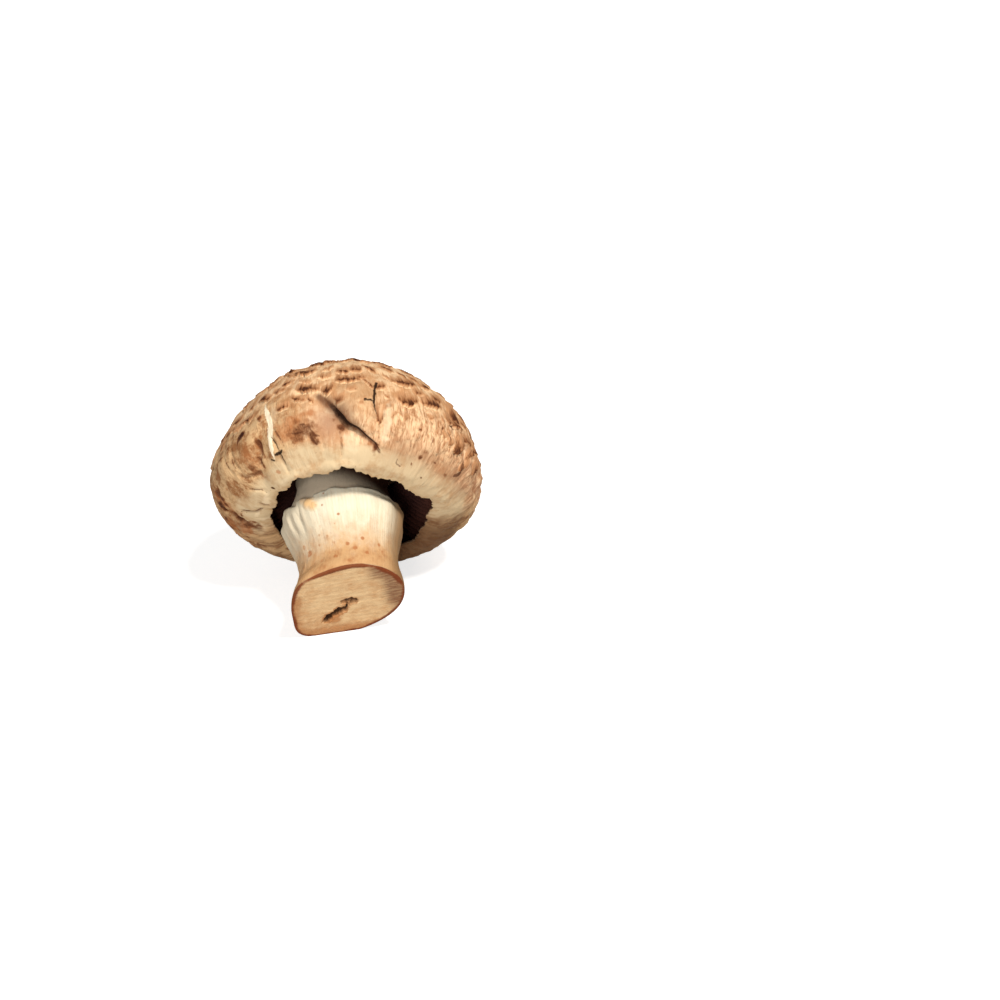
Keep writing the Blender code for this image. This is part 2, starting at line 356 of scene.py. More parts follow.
cap_theta = np.arange(CAP_COLUMNS + 1) * 360.0 / CAP_COLUMNS - 180.0
cap_phi = cap_theta - CROWD * sind(cap_theta)
CROWN_V = 21.0
outer_v = np.linspace(along_section(FIRST_T), along_section(MARGIN_T), CAP_ROWS)
lip_along = np.arange(1, LIP_ROWS + 1) / LIP_ROWS
cap_v = np.concatenate((outer_v, outer_v[-1] + LIP_LENGTH * lip_along))
cap_t = np.interp(cap_v, section_v, section_t)
PHI, V = np.meshgrid(cap_phi[:-1], cap_v)
T = np.broadcast_to(cap_t[:, None], PHI.shape)
print("cap grid:", PHI.shape, "points, rings", round(cap_v[1] - cap_v[0], 3), "mm apart")

# %% Cap section


def cap_surface(phi, t, height):
    """r and z of the cap's outside: half ellipses, a little out of round, raised by height along their normal."""
    depth = np.where(t < 90.0, CROWN_HEIGHT, UNDER_DEPTH)
    out_of_round = -0.015 * sind(2 * phi) + 0.016 * cosd(3 * phi) + 0.012 * sind(3 * phi)
    r = CAP_RADIUS * sind(t) * (1 + sind(t) ** 2 * out_of_round)
    nr, nz = sind(t) * depth, cosd(t) * CAP_RADIUS
    size = np.hypot(nr, nz)
    return r + height * nr / size, depth * cosd(t) + height * nz / size


def beside_path(path):
    """For each point of the grid: signed mm to the right of a path of (phi, t) points, 0 to 1 along it, and the
    unit direction of the nearest stretch. Each stretch gives its nearest point, and the closest one wins."""
    nodes = np.array([(phi * WIDE, along_section(t)) for phi, t in path])
    lengths = np.linalg.norm(np.diff(nodes, axis=0), axis=1)
    start = np.concatenate(((0.0,), np.cumsum(lengths)))
    best = np.full(PHI.shape, 1e9)
    right, along = np.zeros(PHI.shape), np.zeros(PHI.shape)
    heading = np.zeros(PHI.shape + (2,))
    for (a, b), length, before in zip(zip(nodes[:-1], nodes[1:]), lengths, start):
        d = (b - a) / length
        du, dv = PHI * WIDE - a[0], V - a[1]
        step = np.clip(du * d[0] + dv * d[1], 0.0, length)
        off_u, off_v = du - step * d[0], dv - step * d[1]
        away = np.hypot(off_u, off_v)
        near = away < best
        best = np.where(near, away, best)
        right = np.where(near, np.where(off_u * d[1] < off_v * d[0], -away, away), right)
        along = np.where(near, (before + step) / start[-1], along)
        heading = np.where(near[..., None], d, heading)
    return right, along, heading


def groove(path, depth, width, fade=0.15):
    """A soft channel along a path: depth times bell across, fading to nothing over both ends."""
    right, along, _ = beside_path(path)
    return depth * bell(right, width) * smooth(along, 0.0, fade) * smooth(1.0 - along, 0.0, fade)


# %% [markdown]
# ## Folds of the cap
#
# The cap grew against its neighbours, and its skin buckled. The deepest fold crosses the front: its upper
# right side stands a millimetre proud and leans over the lower left side, so light catches the lip and the
# crease below stays dark. A height alone can't overhang, so the points near the crease also slide sideways.
# Left of it a valley runs to the rim, and the left lobe has fine swirling creases.

# %% Fold, valley and creases
FOLD_PIXELS = (
    (312, 392),
    (320, 395),
    (329, 399),
    (338, 405),
    (345, 412),
    (351, 419),
    (359, 426),
    (368, 434),
    (376, 443),
    (380, 450),
)
FOLD_LIFT, FOLD_FOOT, FOLD_ROUND, FOLD_SLIDE = 1.45, -0.5, 1.15, 1.5
VALLEY_PATH = ((-34.5, 92.0), (-42.0, 114.0), (-56.0, 136.0))
# Each: pixels of the path, depth and half width in mm
SEEN_CREASES = (
    (((269, 434), (274, 443), (279, 453), (285, 465), (291, 478)), 0.24, 0.34),
    (((256, 438), (258, 447), (259, 455), (258, 463), (261, 471)), 0.42, 0.45),
    (((261, 472), (255, 477), (247, 478), (238, 474)), 0.26, 0.45),
    (((231, 448), (233, 456), (236, 463), (242, 470)), 0.22, 0.36),
    (((224, 452), (229, 465), (238, 476)), 0.14, 0.36),
    (((212, 464), (215, 472), (218, 465)), 0.14, 0.35),
    (((215, 478), (219, 490), (221, 505)), 0.25, 0.5),
    (((226, 478), (229, 490), (230, 502)), 0.20, 0.5),
    (((248, 488), (256, 491), (263, 492), (269, 497)), 0.22, 0.35),
    (((230, 511), (235, 517), (241, 521), (247, 522)), 1.0, 0.8),
    (((238, 511), (248, 512.5), (257, 514), (266, 512)), 0.6, 0.5),
    (((258, 504), (264, 508), (271, 511)), 0.6, 0.55),
    (((246, 522), (252, 524), (257, 527), (259, 533)), 0.35, 0.65),
    (((224, 520), (232, 530), (243, 536), (255, 540)), 0.6, 0.7),
    (((262, 540), (270, 542), (278, 539)), 0.20, 0.5),
    (((250, 544), (262, 548), (276, 552)), 0.5, 0.8),
    (((340, 436), (341, 446), (342, 458)), 0.22, 0.35),
    (((318, 430), (322, 440), (324, 452)), 0.16, 0.5),
    (((373, 400), (377, 412), (380, 424)), 0.40, 0.5),
    (((388, 410), (386, 424), (388, 440)), 0.25, 0.7),
    (((450, 410), (454, 425), (452, 440)), 0.25, 0.5),
    (((463, 430), (464, 445), (460, 460)), 0.35, 0.5),
    (((473, 445), (472, 458), (468, 470)), 0.30, 0.5),
    (((396, 461), (399, 466), (404, 468)), 0.12, 0.4),
)
CREASES = (
    (((-86, 111), (-88, 117), (-89.6, 125), (-88.7, 131), (-93, 136), (-98, 141)), 0.45, 0.6),
    (((-97, 116), (-99, 124), (-100, 132), (-106, 139)), 0.35, 0.6),
    (((-110, 120), (-112, 130), (-118, 139)), 0.30, 0.7),
    (((104, 112), (110, 122), (108, 134)), 0.35, 0.6),
    (((136, 108), (141, 120), (138, 133)), 0.30, 0.6),
    (((-150, 110), (-146, 122), (-149, 135)), 0.35, 0.6),
)
# Each: pixel, half widths round and along in mm, rise in mm
SEEN_LUMPS = (
    (264, 525, 0.8, 1.3, 0.50),
    (268, 503, 1.6, 0.8, 0.40),
    (256, 517, 2.0, 0.5, 0.30),
    (243, 529, 3.0, 1.3, 0.55),
    (232, 524, 1.3, 1.2, 0.30),
    (238, 506, 2.2, 1.2, 0.30),
    (247, 455, 1.7, 3.2, 0.35),
    (227, 470, 2.0, 3.4, 0.25),
    (262, 448, 1.0, 3.5, -0.30),
    (325, 420, 2.2, 3.0, -0.45),
    (331, 445, 1.4, 2.4, 0.25),
    (396, 436, 3.2, 3.4, 0.35),
    (362, 420, 1.6, 3.0, 0.10),
    (459, 438, 0.9, 2.4, 0.35),
    (469, 462, 0.9, 2.4, 0.35),
    (290.5, 370.5, 0.5, 0.8, 0.55),
)


def cap_seen():
    """What seen_from says about the cap's plain form."""
    r, z = cap_surface(PHI, T, 0.0)
    return seen_from(spin(r, PHI, z))


seen_cap = cap_seen()


def on_cap(entries):
    """Entries (x, y, ...) in pixels, turned into (phi, t, ...) on the cap."""
    found = []
    for x, y, *rest in entries:
        row, column = nearest_seen(seen_cap, (x, y))
        found.append((float(PHI[row, column]), float(T[row, column]), *rest))
    return tuple(found)


def fold_height(right):
    """A fold across its crease: left of the foot a slope that sinks to it, right of it a lip that rises fast and
    rounds off, both dying away with distance."""
    past = right - FOLD_FOOT
    lip = 2.0 * (1.0 - np.exp(-np.maximum(past, 0.0) / FOLD_ROUND)) - 1.0
    return np.where(past > 0.0, lip, -np.exp(-((past / 3.4) ** 2))) * bell(right, 8.0)


fold_right, fold_along, fold_heading = beside_path(on_cap(FOLD_PIXELS))
fold_ends = smooth(fold_along, 0.0, 0.42) * smooth(1.0 - fold_along, 0.0, 0.55)
valley_right, valley_along, _ = beside_path(VALLEY_PATH)
slow_height = sum(rise * bell(turned(PHI, p), wp) * bell(T - s, ws) for p, s, wp, ws, rise in LUMPS)
slow_height = slow_height + FOLD_LIFT * fold_height(fold_right) * (0.1 + 0.9 * fold_ends) * bell(fold_along - 0.5, 0.6)
slow_height = slow_height - 0.9 * bell(valley_right, 1.8) * bell(valley_along - 0.5, 0.6)
for x_mark, y_mark, round_mm, along_mm, rise in SEEN_LUMPS:
    ((phi_mark, t_mark),) = on_cap([(x_mark, y_mark)])
    off = np.hypot(turned(PHI, phi_mark) * WIDE / round_mm, (V - along_section(t_mark)) / along_mm)
    slow_height = slow_height + rise * bell(off, 1.0)
crease_depth = sum(groove(path, depth, width) for path, depth, width in CREASES)
crease_depth = crease_depth + sum(groove(on_cap(path), depth, width) for path, depth, width in SEEN_CREASES)
fold_slide = FOLD_SLIDE * fold_ends * smooth(fold_right - FOLD_FOOT, 0.0, 1.4) * bell(fold_right, 3.0)
print("slow form from", round(slow_height.min(), 2), "to", round(slow_height.max(), 2), "mm")

# %% [markdown]
# ## Scales
#
# As the cap swells, its thin brown skin cracks and curls into scales, with pale flesh between. Modelling
# hundreds of scales as separate sheets would leave gaps and loose edges. Instead each one is pressed into
# the height of the grid like a stamp: it rises slowly from its root and ends in a sharp, curved tip. The
# same stamp writes how brown the skin is, which the material reads. Those in front follow the photograph;
# the others are drawn at random in staggered rows.

# %% Stamp
scale_height, scale_brown, scale_gap = (np.zeros(PHI.shape) for _ in range(3))
shag_height, shag_tip, shag_gap = (np.zeros(PHI.shape) for _ in range(3))
GAP = 0.8
ragged = 0.22 * soft_noise(cap_phi[:-1], 0 * cap_phi[:-1], 310, 26) + 0.14 * soft_noise(cap_phi[:-1], 0 * cap_phi[:-1], 150, 27)


def stamp(heights, tones, gaps, phi, v, half, length, height, tone, bend, slant):
    """Raises one flap with its tip at (phi, v): height * back^1.5 * (1 - x^2), where x runs from -1 to 1
    across and back from 0 at the root to 1 at the tip line, which bends back by bend * x^2 and is ragged. The
    gap behind the tip fades over GAP millimetres."""
    rows = np.flatnonzero((cap_v > v - length - abs(slant) - bend - 0.4) & (cap_v < v + abs(slant) + GAP + 0.4))
    around = turned(cap_phi[:-1], phi)
    reach = half / max(math.radians(CAP_RADIUS * sind(np.interp(v, section_v, section_t))), 1e-3)
    columns = np.flatnonzero(np.abs(around) < reach)
    if not len(rows) or not len(columns):
        return
    place = np.ix_(rows, columns)
    x = around[columns][None, :] / reach
    across = 1.0 - x**2
    tip = v - bend * x**2 + slant * x + np.roll(ragged, int(7 * v))[columns]
    past = cap_v[rows][:, None] - tip
    back = past / length + 1.0
    inside = (back > 0.0) & (back <= 1.0)
    back = np.clip(back, 0.0, 1.0)
    heights[place] = np.maximum(heights[place], np.where(inside, height * back**1.5 * across**0.7, 0.0))
    tones[place] = np.maximum(tones[place], np.where(inside, tone * back**0.9 * across**0.35, 0.0))
    gap = np.where(past > 0.0, np.clip(1.0 - past / GAP, 0.0, 1.0), 0.0) * height / 0.4 * across
    gaps[place] = np.maximum(gaps[place], gap)


# %% Scales in front, from the photograph
# Each: pixels of the tip line's left and right end, how far its middle hangs below them, length, height, tone
FRONT_SCALES = (
    (309, 367, 329, 363.5, 0.3, 2.4, 0.34, 1.05),
    (322, 361.5, 332, 360.0, 0.2, 2.0, 0.25, 0.9),
    (331, 363, 339, 362, 0.2, 2.0, 0.30, 0.95),
    (344, 361.5, 368, 363, 0.3, 2.2, 0.34, 1.05),
    (368, 361, 382, 364.5, 0.3, 2.2, 0.28, 0.95),
    (293, 375, 317, 371, 1.0, 3.2, 0.46, 1.05),
    (295, 390, 320, 391, 0.4, 3.0, 0.50, 1.05),
    (321, 391, 334, 389, 1.0, 3.0, 0.44, 1.0),
    (291, 398, 306, 400, 0.8, 1.8, 0.32, 1.0),
    (307, 399, 314, 400, 0.5, 1.4, 0.26, 1.05),
    (336, 372, 349, 372, 0.4, 3.0, 0.42, 1.0),
    (349, 370, 362, 371, 0.9, 3.4, 0.44, 1.05),
    (362, 367, 376, 373, 0.5, 2.6, 0.38, 1.05),
    (379, 367, 394, 372, 0.8, 2.8, 0.36, 0.95),
    (398, 374, 406, 378.5, 0.3, 2.2, 0.30, 1.0),
    (391, 381, 416, 386, 0.9, 3.2, 0.46, 1.05),
    (383, 375, 394, 382, 0.2, 1.8, 0.22, 0.75),
    (334, 380, 360, 380, 1.1, 3.0, 0.44, 1.05),
    (363, 380, 373, 390, 0.5, 1.8, 0.30, 0.95),
    (374, 390, 386, 386, 0.5, 2.4, 0.34, 0.95),
    (281, 385, 292, 382.5, 0.3, 2.0, 0.30, 1.0),
    (336, 397, 349, 400, 0.7, 2.4, 0.34, 0.9),
    (397, 399, 419, 400, 1.5, 3.6, 0.52, 1.05),
    (422, 402, 443, 409, 0.5, 3.4, 0.46, 1.05),
    (382, 411, 393, 406, 0.5, 2.0, 0.30, 0.75),
    (360, 408, 367, 402, 0.2, 1.2, 0.20, 0.85),
    (383, 396, 389, 400, 0.2, 1.2, 0.20, 0.95),
    (375, 409, 386, 409, 2.8, 2.6, 0.40, 0.95),
    (421, 386, 430, 391, 0.4, 2.6, 0.34, 1.1),
    (437, 393, 446, 401, 0.2, 2.4, 0.26, 0.9),
    (392, 418, 399, 414, 0.2, 1.3, 0.16, 0.7),
    (403, 417, 411, 417, 0.6, 1.6, 0.20, 0.7),
    (428, 416, 435, 417, 0.5, 1.6, 0.18, 0.7),
    (256, 401, 272, 396.5, 0.3, 2.4, 0.34, 1.0),
    (275, 409, 289, 404, 0.6, 1.8, 0.30, 1.0),
    (239, 424.5, 253, 417, 0.3, 1.8, 0.28, 0.95),
    (246, 409, 255, 403, 0.3, 1.8, 0.26, 0.85),
    (256, 417, 263, 416, 1.1, 1.6, 0.26, 0.9),
    (268, 378, 281, 372.5, 0.2, 2.2, 0.28, 0.9),
    (262, 390, 272, 384, 0.3, 2.0, 0.28, 0.85),
    (449, 411, 461, 424, 0.8, 4.6, 0.34, 1.0),
    (450, 424, 464, 430, 0.5, 3.4, 0.34, 0.9),
    (453, 447, 463, 447, 1.6, 4.4, 0.34, 1.0),
    (463, 441, 472, 443, 0.8, 3.4, 0.30, 0.9),
    (463, 459, 473, 450, 0.6, 3.0, 0.30, 0.9),
    (468, 474, 478, 468, 0.8, 4.6, 0.30, 0.85),
    (455, 412, 464, 422, 0.3, 3.0, 0.26, 0.95),
    (445, 418, 452, 424, 0.8, 3.6, 0.28, 0.8),
    (447, 440, 453, 443, 0.8, 3.0, 0.24, 0.7),
    (458, 468, 466, 466, 0.8, 3.4, 0.28, 0.8),
    (470, 452, 478, 452, 0.6, 3.6, 0.26, 0.9),
    (440, 434, 447, 436, 0.6, 2.6, 0.20, 0.6),
    (430, 398, 442, 403, 0.3, 2.6, 0.26, 0.85),
    (408, 378, 420, 384, 0.3, 2.6, 0.28, 0.85),
    (414, 391, 424, 394, 0.5, 2.6, 0.28, 0.8),
    (352, 378, 366, 378, 0.4, 2.0, 0.24, 0.7),
    (317, 377, 332, 376, 0.5, 2.2, 0.26, 0.75),
    (322, 370, 334, 368, 0.4, 2.2, 0.26, 0.75),
    (346, 392, 358, 391, 0.5, 2.0, 0.24, 0.6),
    (272, 393, 284, 390, 0.4, 2.2, 0.26, 0.8),
    (284, 376, 296, 378, 0.4, 2.2, 0.26, 0.75),
    (299, 382, 312, 381, 0.4, 2.0, 0.22, 0.6),
    (466, 428, 474, 440, 0.3, 3.0, 0.26, 0.85),
)
WIDER, TALLER = 1.05, 1.3
for x_left, y_left, x_right, y_right, hang, length, height, tone_level in FRONT_SCALES:
    (phi_left, t_left), (phi_right, t_right) = on_cap(((x_left, y_left), (x_right, y_right)))
    v_left, v_right = along_section(t_left), along_section(t_right)
    middle_v, middle_t = 0.5 * (v_left + v_right) + hang, 0.5 * (t_left + t_right)
    half = WIDER * 0.5 * math.radians(turned(phi_right, phi_left)) * CAP_RADIUS * sind(middle_t)
    middle_phi = phi_left + 0.5 * turned(phi_right, phi_left)
    slant = 0.5 * (v_right - v_left)
    rise = TALLER * height * (1.0 - 0.4 * smooth(abs(middle_phi), 50.0, 75.0))
    size = (abs(half), 1.15 * length, rise, 1.06 * tone_level)
    stamp(scale_height, scale_brown, scale_gap, middle_phi, middle_v, *size, hang, slant)
print("scales from the photograph:", len(FRONT_SCALES))

# %% Scales at random over the crown and the back
ROW_SPACING, SCALE_SPACING = 2.7, 4.6
SCALES_END_T = 93.0
rng = np.random.default_rng(11)


def scales_of_row(v):
    """Stamps one row at about v: angles evenly round with a random offset each, some left out."""
    t_row = np.interp(v, section_v, section_t)
    radius = CAP_RADIUS * sind(t_row)
    count = max(5, int(2 * math.pi * radius / SCALE_SPACING))
    angles = (np.arange(count) + rng.uniform(-0.3, 0.3, count)) * 360.0 / count + rng.uniform(0.0, 360.0)
    draws = rng.uniform(0.0, 1.0, (count, 6))
    for phi, draw in zip(turned(angles, 0.0), draws):
        in_front = -52.0 < phi < 58.0 and t_row > 56.0
        on_smooth_lobe = -105.0 < phi < -30.0 and t_row > 88.0
        if in_front or on_smooth_lobe or draw[0] > 0.9:
            continue
        half, length = 0.9 + 1.4 * draw[1] ** 1.3, 2.0 + 1.6 * draw[2]
        height = (0.24 + 0.26 * draw[3]) * np.interp(t_row, (10.0, 40.0), (0.6, 1.0))
        tone = (0.7 + 0.4 * draw[4]) * np.interp(t_row, (80.0, 93.0), (1.0, 0.75))
        v_tip, slant = v + 1.6 * (draw[5] - 0.5), 0.6 * (draw[1] - 0.5)
        height *= 1.0 - 0.55 * float(bell(abs(phi) - 92.0, 36.0))
        stamp(scale_height, scale_brown, scale_gap, phi, v_tip, half, length, height, tone, 0.6, slant)


for v in np.arange(along_section(10.0), along_section(SCALES_END_T), ROW_SPACING):
    scales_of_row(v)
print("share of the cap under scales:", round(float((scale_height > 0).mean()), 2))

# %% [markdown]
# ## The shaggy band
#
# Below the scales the skin has torn into fine, narrow tongues that lie like thatch towards the rim. They
# are the same stamp, many times over and much smaller. The front left lobe is smooth, so it gets none.

# %% Shaggy band
TONGUES = 3000


def shaggy(phi, t):
    """0 to 1, how thickly the tongues stand: between t 84 and 120, and not on the smooth lobe in front on the left."""
    band = smooth(t, 78.0, 90.0) * (1.0 - smooth(t, 111.0, 125.0))
    lobe = smooth(phi, -118.0, -100.0) * (1.0 - smooth(phi, -4.0, 6.0))
    return band * (1.0 - lobe)


draws = rng.uniform(0.0, 1.0, (TONGUES, 7))
tongue_t = 76.0 + 46.0 * draws[:, 0]
tongue_phi = 360.0 * draws[:, 1] - 180.0
kept = draws[:, 2] < shaggy(tongue_phi, tongue_t)
for phi, t, draw in zip(tongue_phi[kept], tongue_t[kept], draws[kept]):
    half, length, height = 0.3 + 0.6 * draw[3] ** 2, 1.8 + 3.2 * draw[4], 0.12 + 0.32 * draw[5] ** 1.5
    shade, slant = 0.4 + 0.6 * draw[6], 0.5 * (draw[3] - 0.5)
    stamp(shag_height, shag_tip, shag_gap, phi, along_section(t), half, length, height, shade, 0.4, slant)
print("tongues:", int(kept.sum()))

# %% [markdown]
# ## The cap's rim and inner wall
#
# The veil that once joined rim and stem tore, and left a thin ragged fringe along the rim. It is the same
# skin carried on: the lip curls in under the cap, the fringe's edge follows a radius with tears in it, and
# then the wall turns back up to the flesh that the gills hang from.

# %% Rim
NOTCHES = ((68.0, 8.0, 0.6), (150.0, 9.0, 1.6))
RIM_PIXELS = (
    (285, 541), (280, 537), (277, 531), (273, 523), (270, 517), (272, 514), (273, 510), (277, 508), (277, 500),
    (280, 496), (284, 495), (287, 491), (291, 488), (292, 482), (297, 481), (300, 479), (303, 480), (310, 479),
    (314, 476), (323, 476), (329, 476), (333, 472), (337, 471), (340, 470), (341, 467), (347, 470), (354, 470),
    (356, 473), (361, 474), (366, 476), (372, 479), (378, 480.5), (388, 481), (396, 482.5), (402, 485), (405, 490),
    (411, 493), (416, 497), (424, 499), (429, 500), (433, 506),
)
FRINGE_RADIUS, FRINGE_Z, LIP_DROP = 15.2, -9.0, 0.9
EDGE_ROWS = ((-0.06, 0.18), (-0.02, 0.42), (0.14, 0.62), (0.45, 0.74))
INNER_WALL = (
    (22.2, -5.0),
    (23.0, -3.3),
    (23.6, -1.5),
    (23.6, 0.0),
    (23.0, 1.6),
    (22.2, 2.6),
    (21.0, 3.1),
    (17.0, 3.25),
    (11.0, 3.3),
)
CEILING = 3.3


def rim_from_pixels():
    """phi and radius of the fringe's edge where the photograph shows it: RIM_PIXELS on the plane z = FRINGE_Z."""
    r, phi = np.meshgrid(np.arange(24.0, 10.0, -0.05), np.arange(-150.0, 120.0, 0.25), indexing="ij")
    seen = seen_from(spin(r, phi, FRINGE_Z))
    places = [nearest_seen(seen, pixel) for pixel in RIM_PIXELS]
    return np.array(sorted((phi[place], r[place]) for place in places)).T


RIM_PHI, RIM_R = rim_from_pixels()
print("rim read from phi", RIM_PHI[0], "to", RIM_PHI[-1], "with radii", RIM_R.min().round(2), "to", RIM_R.max().round(2))


def torn_edge(phi):
    """Radius of the fringe's edge: as read in front, and elsewhere a ripple and a bell for each tear, all with
    fine teeth of a third of a millimetre."""
    ripple = 0.3 * sind(9 * phi + 60) + 0.25 * sind(14 * phi + 110)
    teeth = 0.26 * soft_noise(phi, 0 * phi, 230, 21) + 0.16 * soft_noise(phi, 0 * phi, 97, 22)
    hidden = FRINGE_RADIUS + ripple + sum(deep * bell(turned(phi, p), w) for p, w, deep in NOTCHES)
    read = smooth(phi, RIM_PHI[0] - 14.0, RIM_PHI[0]) * (1.0 - smooth(phi, RIM_PHI[-1], RIM_PHI[-1] + 14.0))
    return teeth + read * np.interp(phi, RIM_PHI, RIM_R) + (1.0 - read) * hidden


def cap_rings(outer_r, outer_z, relief, phi):
    """Rings of the whole cap: the outside given, the lip as r and z going evenly inward with a sine's dip and the
    relief hanging from it, the fringe's rounded edge, and the inner wall up to the ceiling."""
    edge = torn_edge(phi)
    out_r, out_z = 0.53, 0.85
    lip_r, lip_z = outer_r[-1] - out_r * relief[CAP_ROWS - 1], outer_z[-1] + out_z * relief[CAP_ROWS - 1]
    rings = []
    for along, high in zip(lip_along, relief[CAP_ROWS:]):
        drop = LIP_DROP * math.sin(0.8 * math.pi * along) + 0.5 * along - 0.5 * along**2
        high = high * (1.0 - 0.6 * along)
        r = lip_r + (edge - lip_r) * along + out_r * high * (1.0 - along)
        rings.append((r, lip_z - drop - out_z * high))
    last_z = rings[-1][1]
    rings += [(edge + out, last_z + up) for out, up in EDGE_ROWS]
    rings.append((edge + 0.55 * (21.2 - edge), last_z + 1.05))
    rings += [(0 * phi + r, 0 * phi + z) for r, z in INNER_WALL]
    r = np.concatenate((outer_r, [ring[0] for ring in rings]))
    z = np.concatenate((outer_z, [ring[1] for ring in rings]))
    return r, z


# %% [markdown]
# ## Marks on the skin
#
# Bruises, rust-coloured spots and the pale scar belong to the colour, so they are masks and not shapes. Some
# marks stand for light instead: a few bruises by the fold and the valley and the brown lines along the creases
# are partly painted shade, and the pale patches are painted highlights. A soft mark is an ellipse, strongest at
# its middle. The material breaks its edge up with noise, so no ellipse can be seen in the picture.

# %% Marks as masks
# Each: pixel, half width round and along in mm, strength
SEEN_BRUISES = (
    (242, 435, 0.85, 0.75, 1.3),
    (239, 437, 0.5, 0.5, 0.9),
    (237.5, 443, 0.35, 1.3, 1.0),
    (233, 435, 0.35, 0.7, 0.85),
    (225, 445, 0.6, 0.9, 0.6),
    (227, 449, 0.3, 0.3, 0.9),
    (222, 460, 0.7, 0.3, 1.1),
    (230, 465.5, 0.25, 0.5, 1.0),
    # The next seven follow the valley's edge: brown skin, darkened further as painted shade.
    (257, 443, 0.5, 1.1, 1.05),
    (259, 452, 0.35, 1.5, 0.75),
    (259, 464, 0.4, 1.2, 0.9),
    (253, 468, 0.9, 0.9, 0.85),
    (256, 474, 1.3, 0.6, 0.85),
    (248, 477, 1.4, 0.5, 0.6),
    (251, 456, 1.8, 4.0, 0.42),
    (259, 418, 0.3, 0.8, 0.9),
    (302, 430, 2.6, 1.7, 0.85),
    (298, 437, 1.8, 1.1, 0.75),
    (312.5, 437, 0.8, 1.5, 0.95),
    (317, 441, 0.6, 0.6, 0.8),
    (302, 426, 1.0, 0.8, 0.75),
    (312, 434, 0.9, 1.0, 0.75),
    (314, 441, 0.8, 0.9, 0.8),
    (295, 434, 1.2, 0.6, 0.8),
    (294, 442, 0.8, 0.6, 0.65),
    (303, 433, 1.1, 0.5, 0.65),
    (297, 427, 0.9, 0.6, 0.6),
    # These two sit in the hollow below the fold's lip: painted shadow of the lip.
    (332, 419, 0.4, 0.4, 0.6),
    (340, 427, 0.8, 0.7, 1.0),
    (341, 446, 0.3, 1.2, 0.5),
    (376, 447, 0.5, 0.9, 1.05),
    (375, 455, 0.3, 0.6, 0.5),
    (453, 427, 0.6, 0.45, 1.2),
    (458, 428, 0.9, 0.3, 0.85),
    (442, 428, 0.3, 0.5, 1.1),
    (441, 432, 0.4, 0.3, 0.7),
    (420, 430, 0.45, 0.3, 1.0),
    (457, 450, 0.6, 0.35, 1.0),
    (455, 454, 0.3, 0.6, 1.0),
    (420, 458, 0.35, 0.4, 0.95),
    (412.5, 465, 0.25, 0.3, 1.0),
    (435, 463, 0.6, 0.25, 1.0),
    (445, 475, 0.6, 0.35, 0.8),
    (421.5, 479, 0.32, 0.25, 1.35),
    (425, 452, 0.6, 0.3, 0.6),
    (464, 446, 0.2, 0.3, 0.8),
    (467, 441, 0.5, 0.3, 0.8),
    (218, 488, 0.4, 0.5, 0.8),
    (220, 496, 1.0, 1.8, 1.0),
    (221, 505, 1.2, 1.2, 1.15),
    (226, 504, 0.8, 0.8, 1.0),
    (224, 509, 1.2, 0.6, 1.15),
    (237, 519, 1.1, 0.6, 1.35),
    (233, 516, 0.7, 0.5, 0.9),
    (226, 519, 0.9, 0.6, 1.0),
    (231, 526, 0.8, 0.8, 0.85),
    (248, 512, 0.5, 0.25, 1.0),
    (241, 516, 0.6, 0.3, 1.0),
    (240, 524, 2.6, 1.3, 0.6),
    (250, 530, 2.0, 0.8, 0.5),
    (245, 537, 1.6, 0.4, 0.8),
    (258, 546, 1.6, 0.5, 0.9),
    (287, 556, 1.2, 0.4, 0.8),
    (273, 492, 0.5, 0.45, 1.4),
    (290.5, 370, 0.4, 0.9, 1.4),
)
SEEN_RUST = (
    (279, 473.5, 0.45, 0.45, 1.0),
    (310, 413, 0.8, 0.7, 0.9),
    (303, 414, 0.9, 0.7, 0.6),
    (288, 424, 2.6, 1.2, 0.9),
    (287, 432, 2.6, 2.0, 0.85),
    (296, 438, 1.4, 1.2, 0.65),
    (240, 488, 1.8, 1.6, 0.22),
    (222, 500, 1.6, 2.8, 1.0),
    (228.5, 489, 0.4, 0.4, 0.9),
    (232, 524, 2.4, 1.6, 1.0),
    (246, 529, 2.8, 1.2, 1.0),
    (238, 536, 2.6, 1.0, 0.7),
    (376, 448, 0.8, 0.7, 1.0),
    (370, 444, 0.6, 0.5, 0.8),
    (250, 460, 2.2, 3.0, 0.55),
    (438, 468, 2.0, 1.0, 0.4),
)
# Painted highlights: pale patches on the bulges and on the fold's lip, where light would catch them.
SEEN_HIGHLIGHTS = (
    (264, 524, 0.8, 1.5, 1.0),
    (268, 504, 1.7, 0.8, 0.9),
    (258, 517, 2.0, 0.4, 0.8),
    (270, 499, 1.2, 0.5, 0.6),
    (287, 484, 1.0, 1.0, 0.6),
    (272, 415, 0.7, 2.2, 0.5),
    (352, 444, 1.6, 1.8, 0.6),
    (362, 421, 1.0, 2.6, 0.35),
    (386, 425, 0.8, 2.6, 0.8),
    (330, 408, 1.2, 1.2, 0.5),
)
# The same for parts the photograph doesn't show: phi and t instead of the pixel
HIDDEN_BRUISES = (
    (-90.4, 133.0, 1.4, 1.6, 0.9),
    (-96.0, 119.0, 2.4, 2.8, 0.6),
    (100, 70, 2.0, 1.2, 0.6),
    (135, 96, 1.6, 2.2, 0.6),
    (-140, 84, 2.2, 1.6, 0.6),
    (165, 60, 1.8, 1.4, 0.5),
    (-160, 104, 2.4, 1.4, 0.7),
    (122, 118, 1.4, 2.0, 0.6),
)
BRUISES, RUST = (*on_cap(SEEN_BRUISES), *HIDDEN_BRUISES), on_cap(SEEN_RUST)
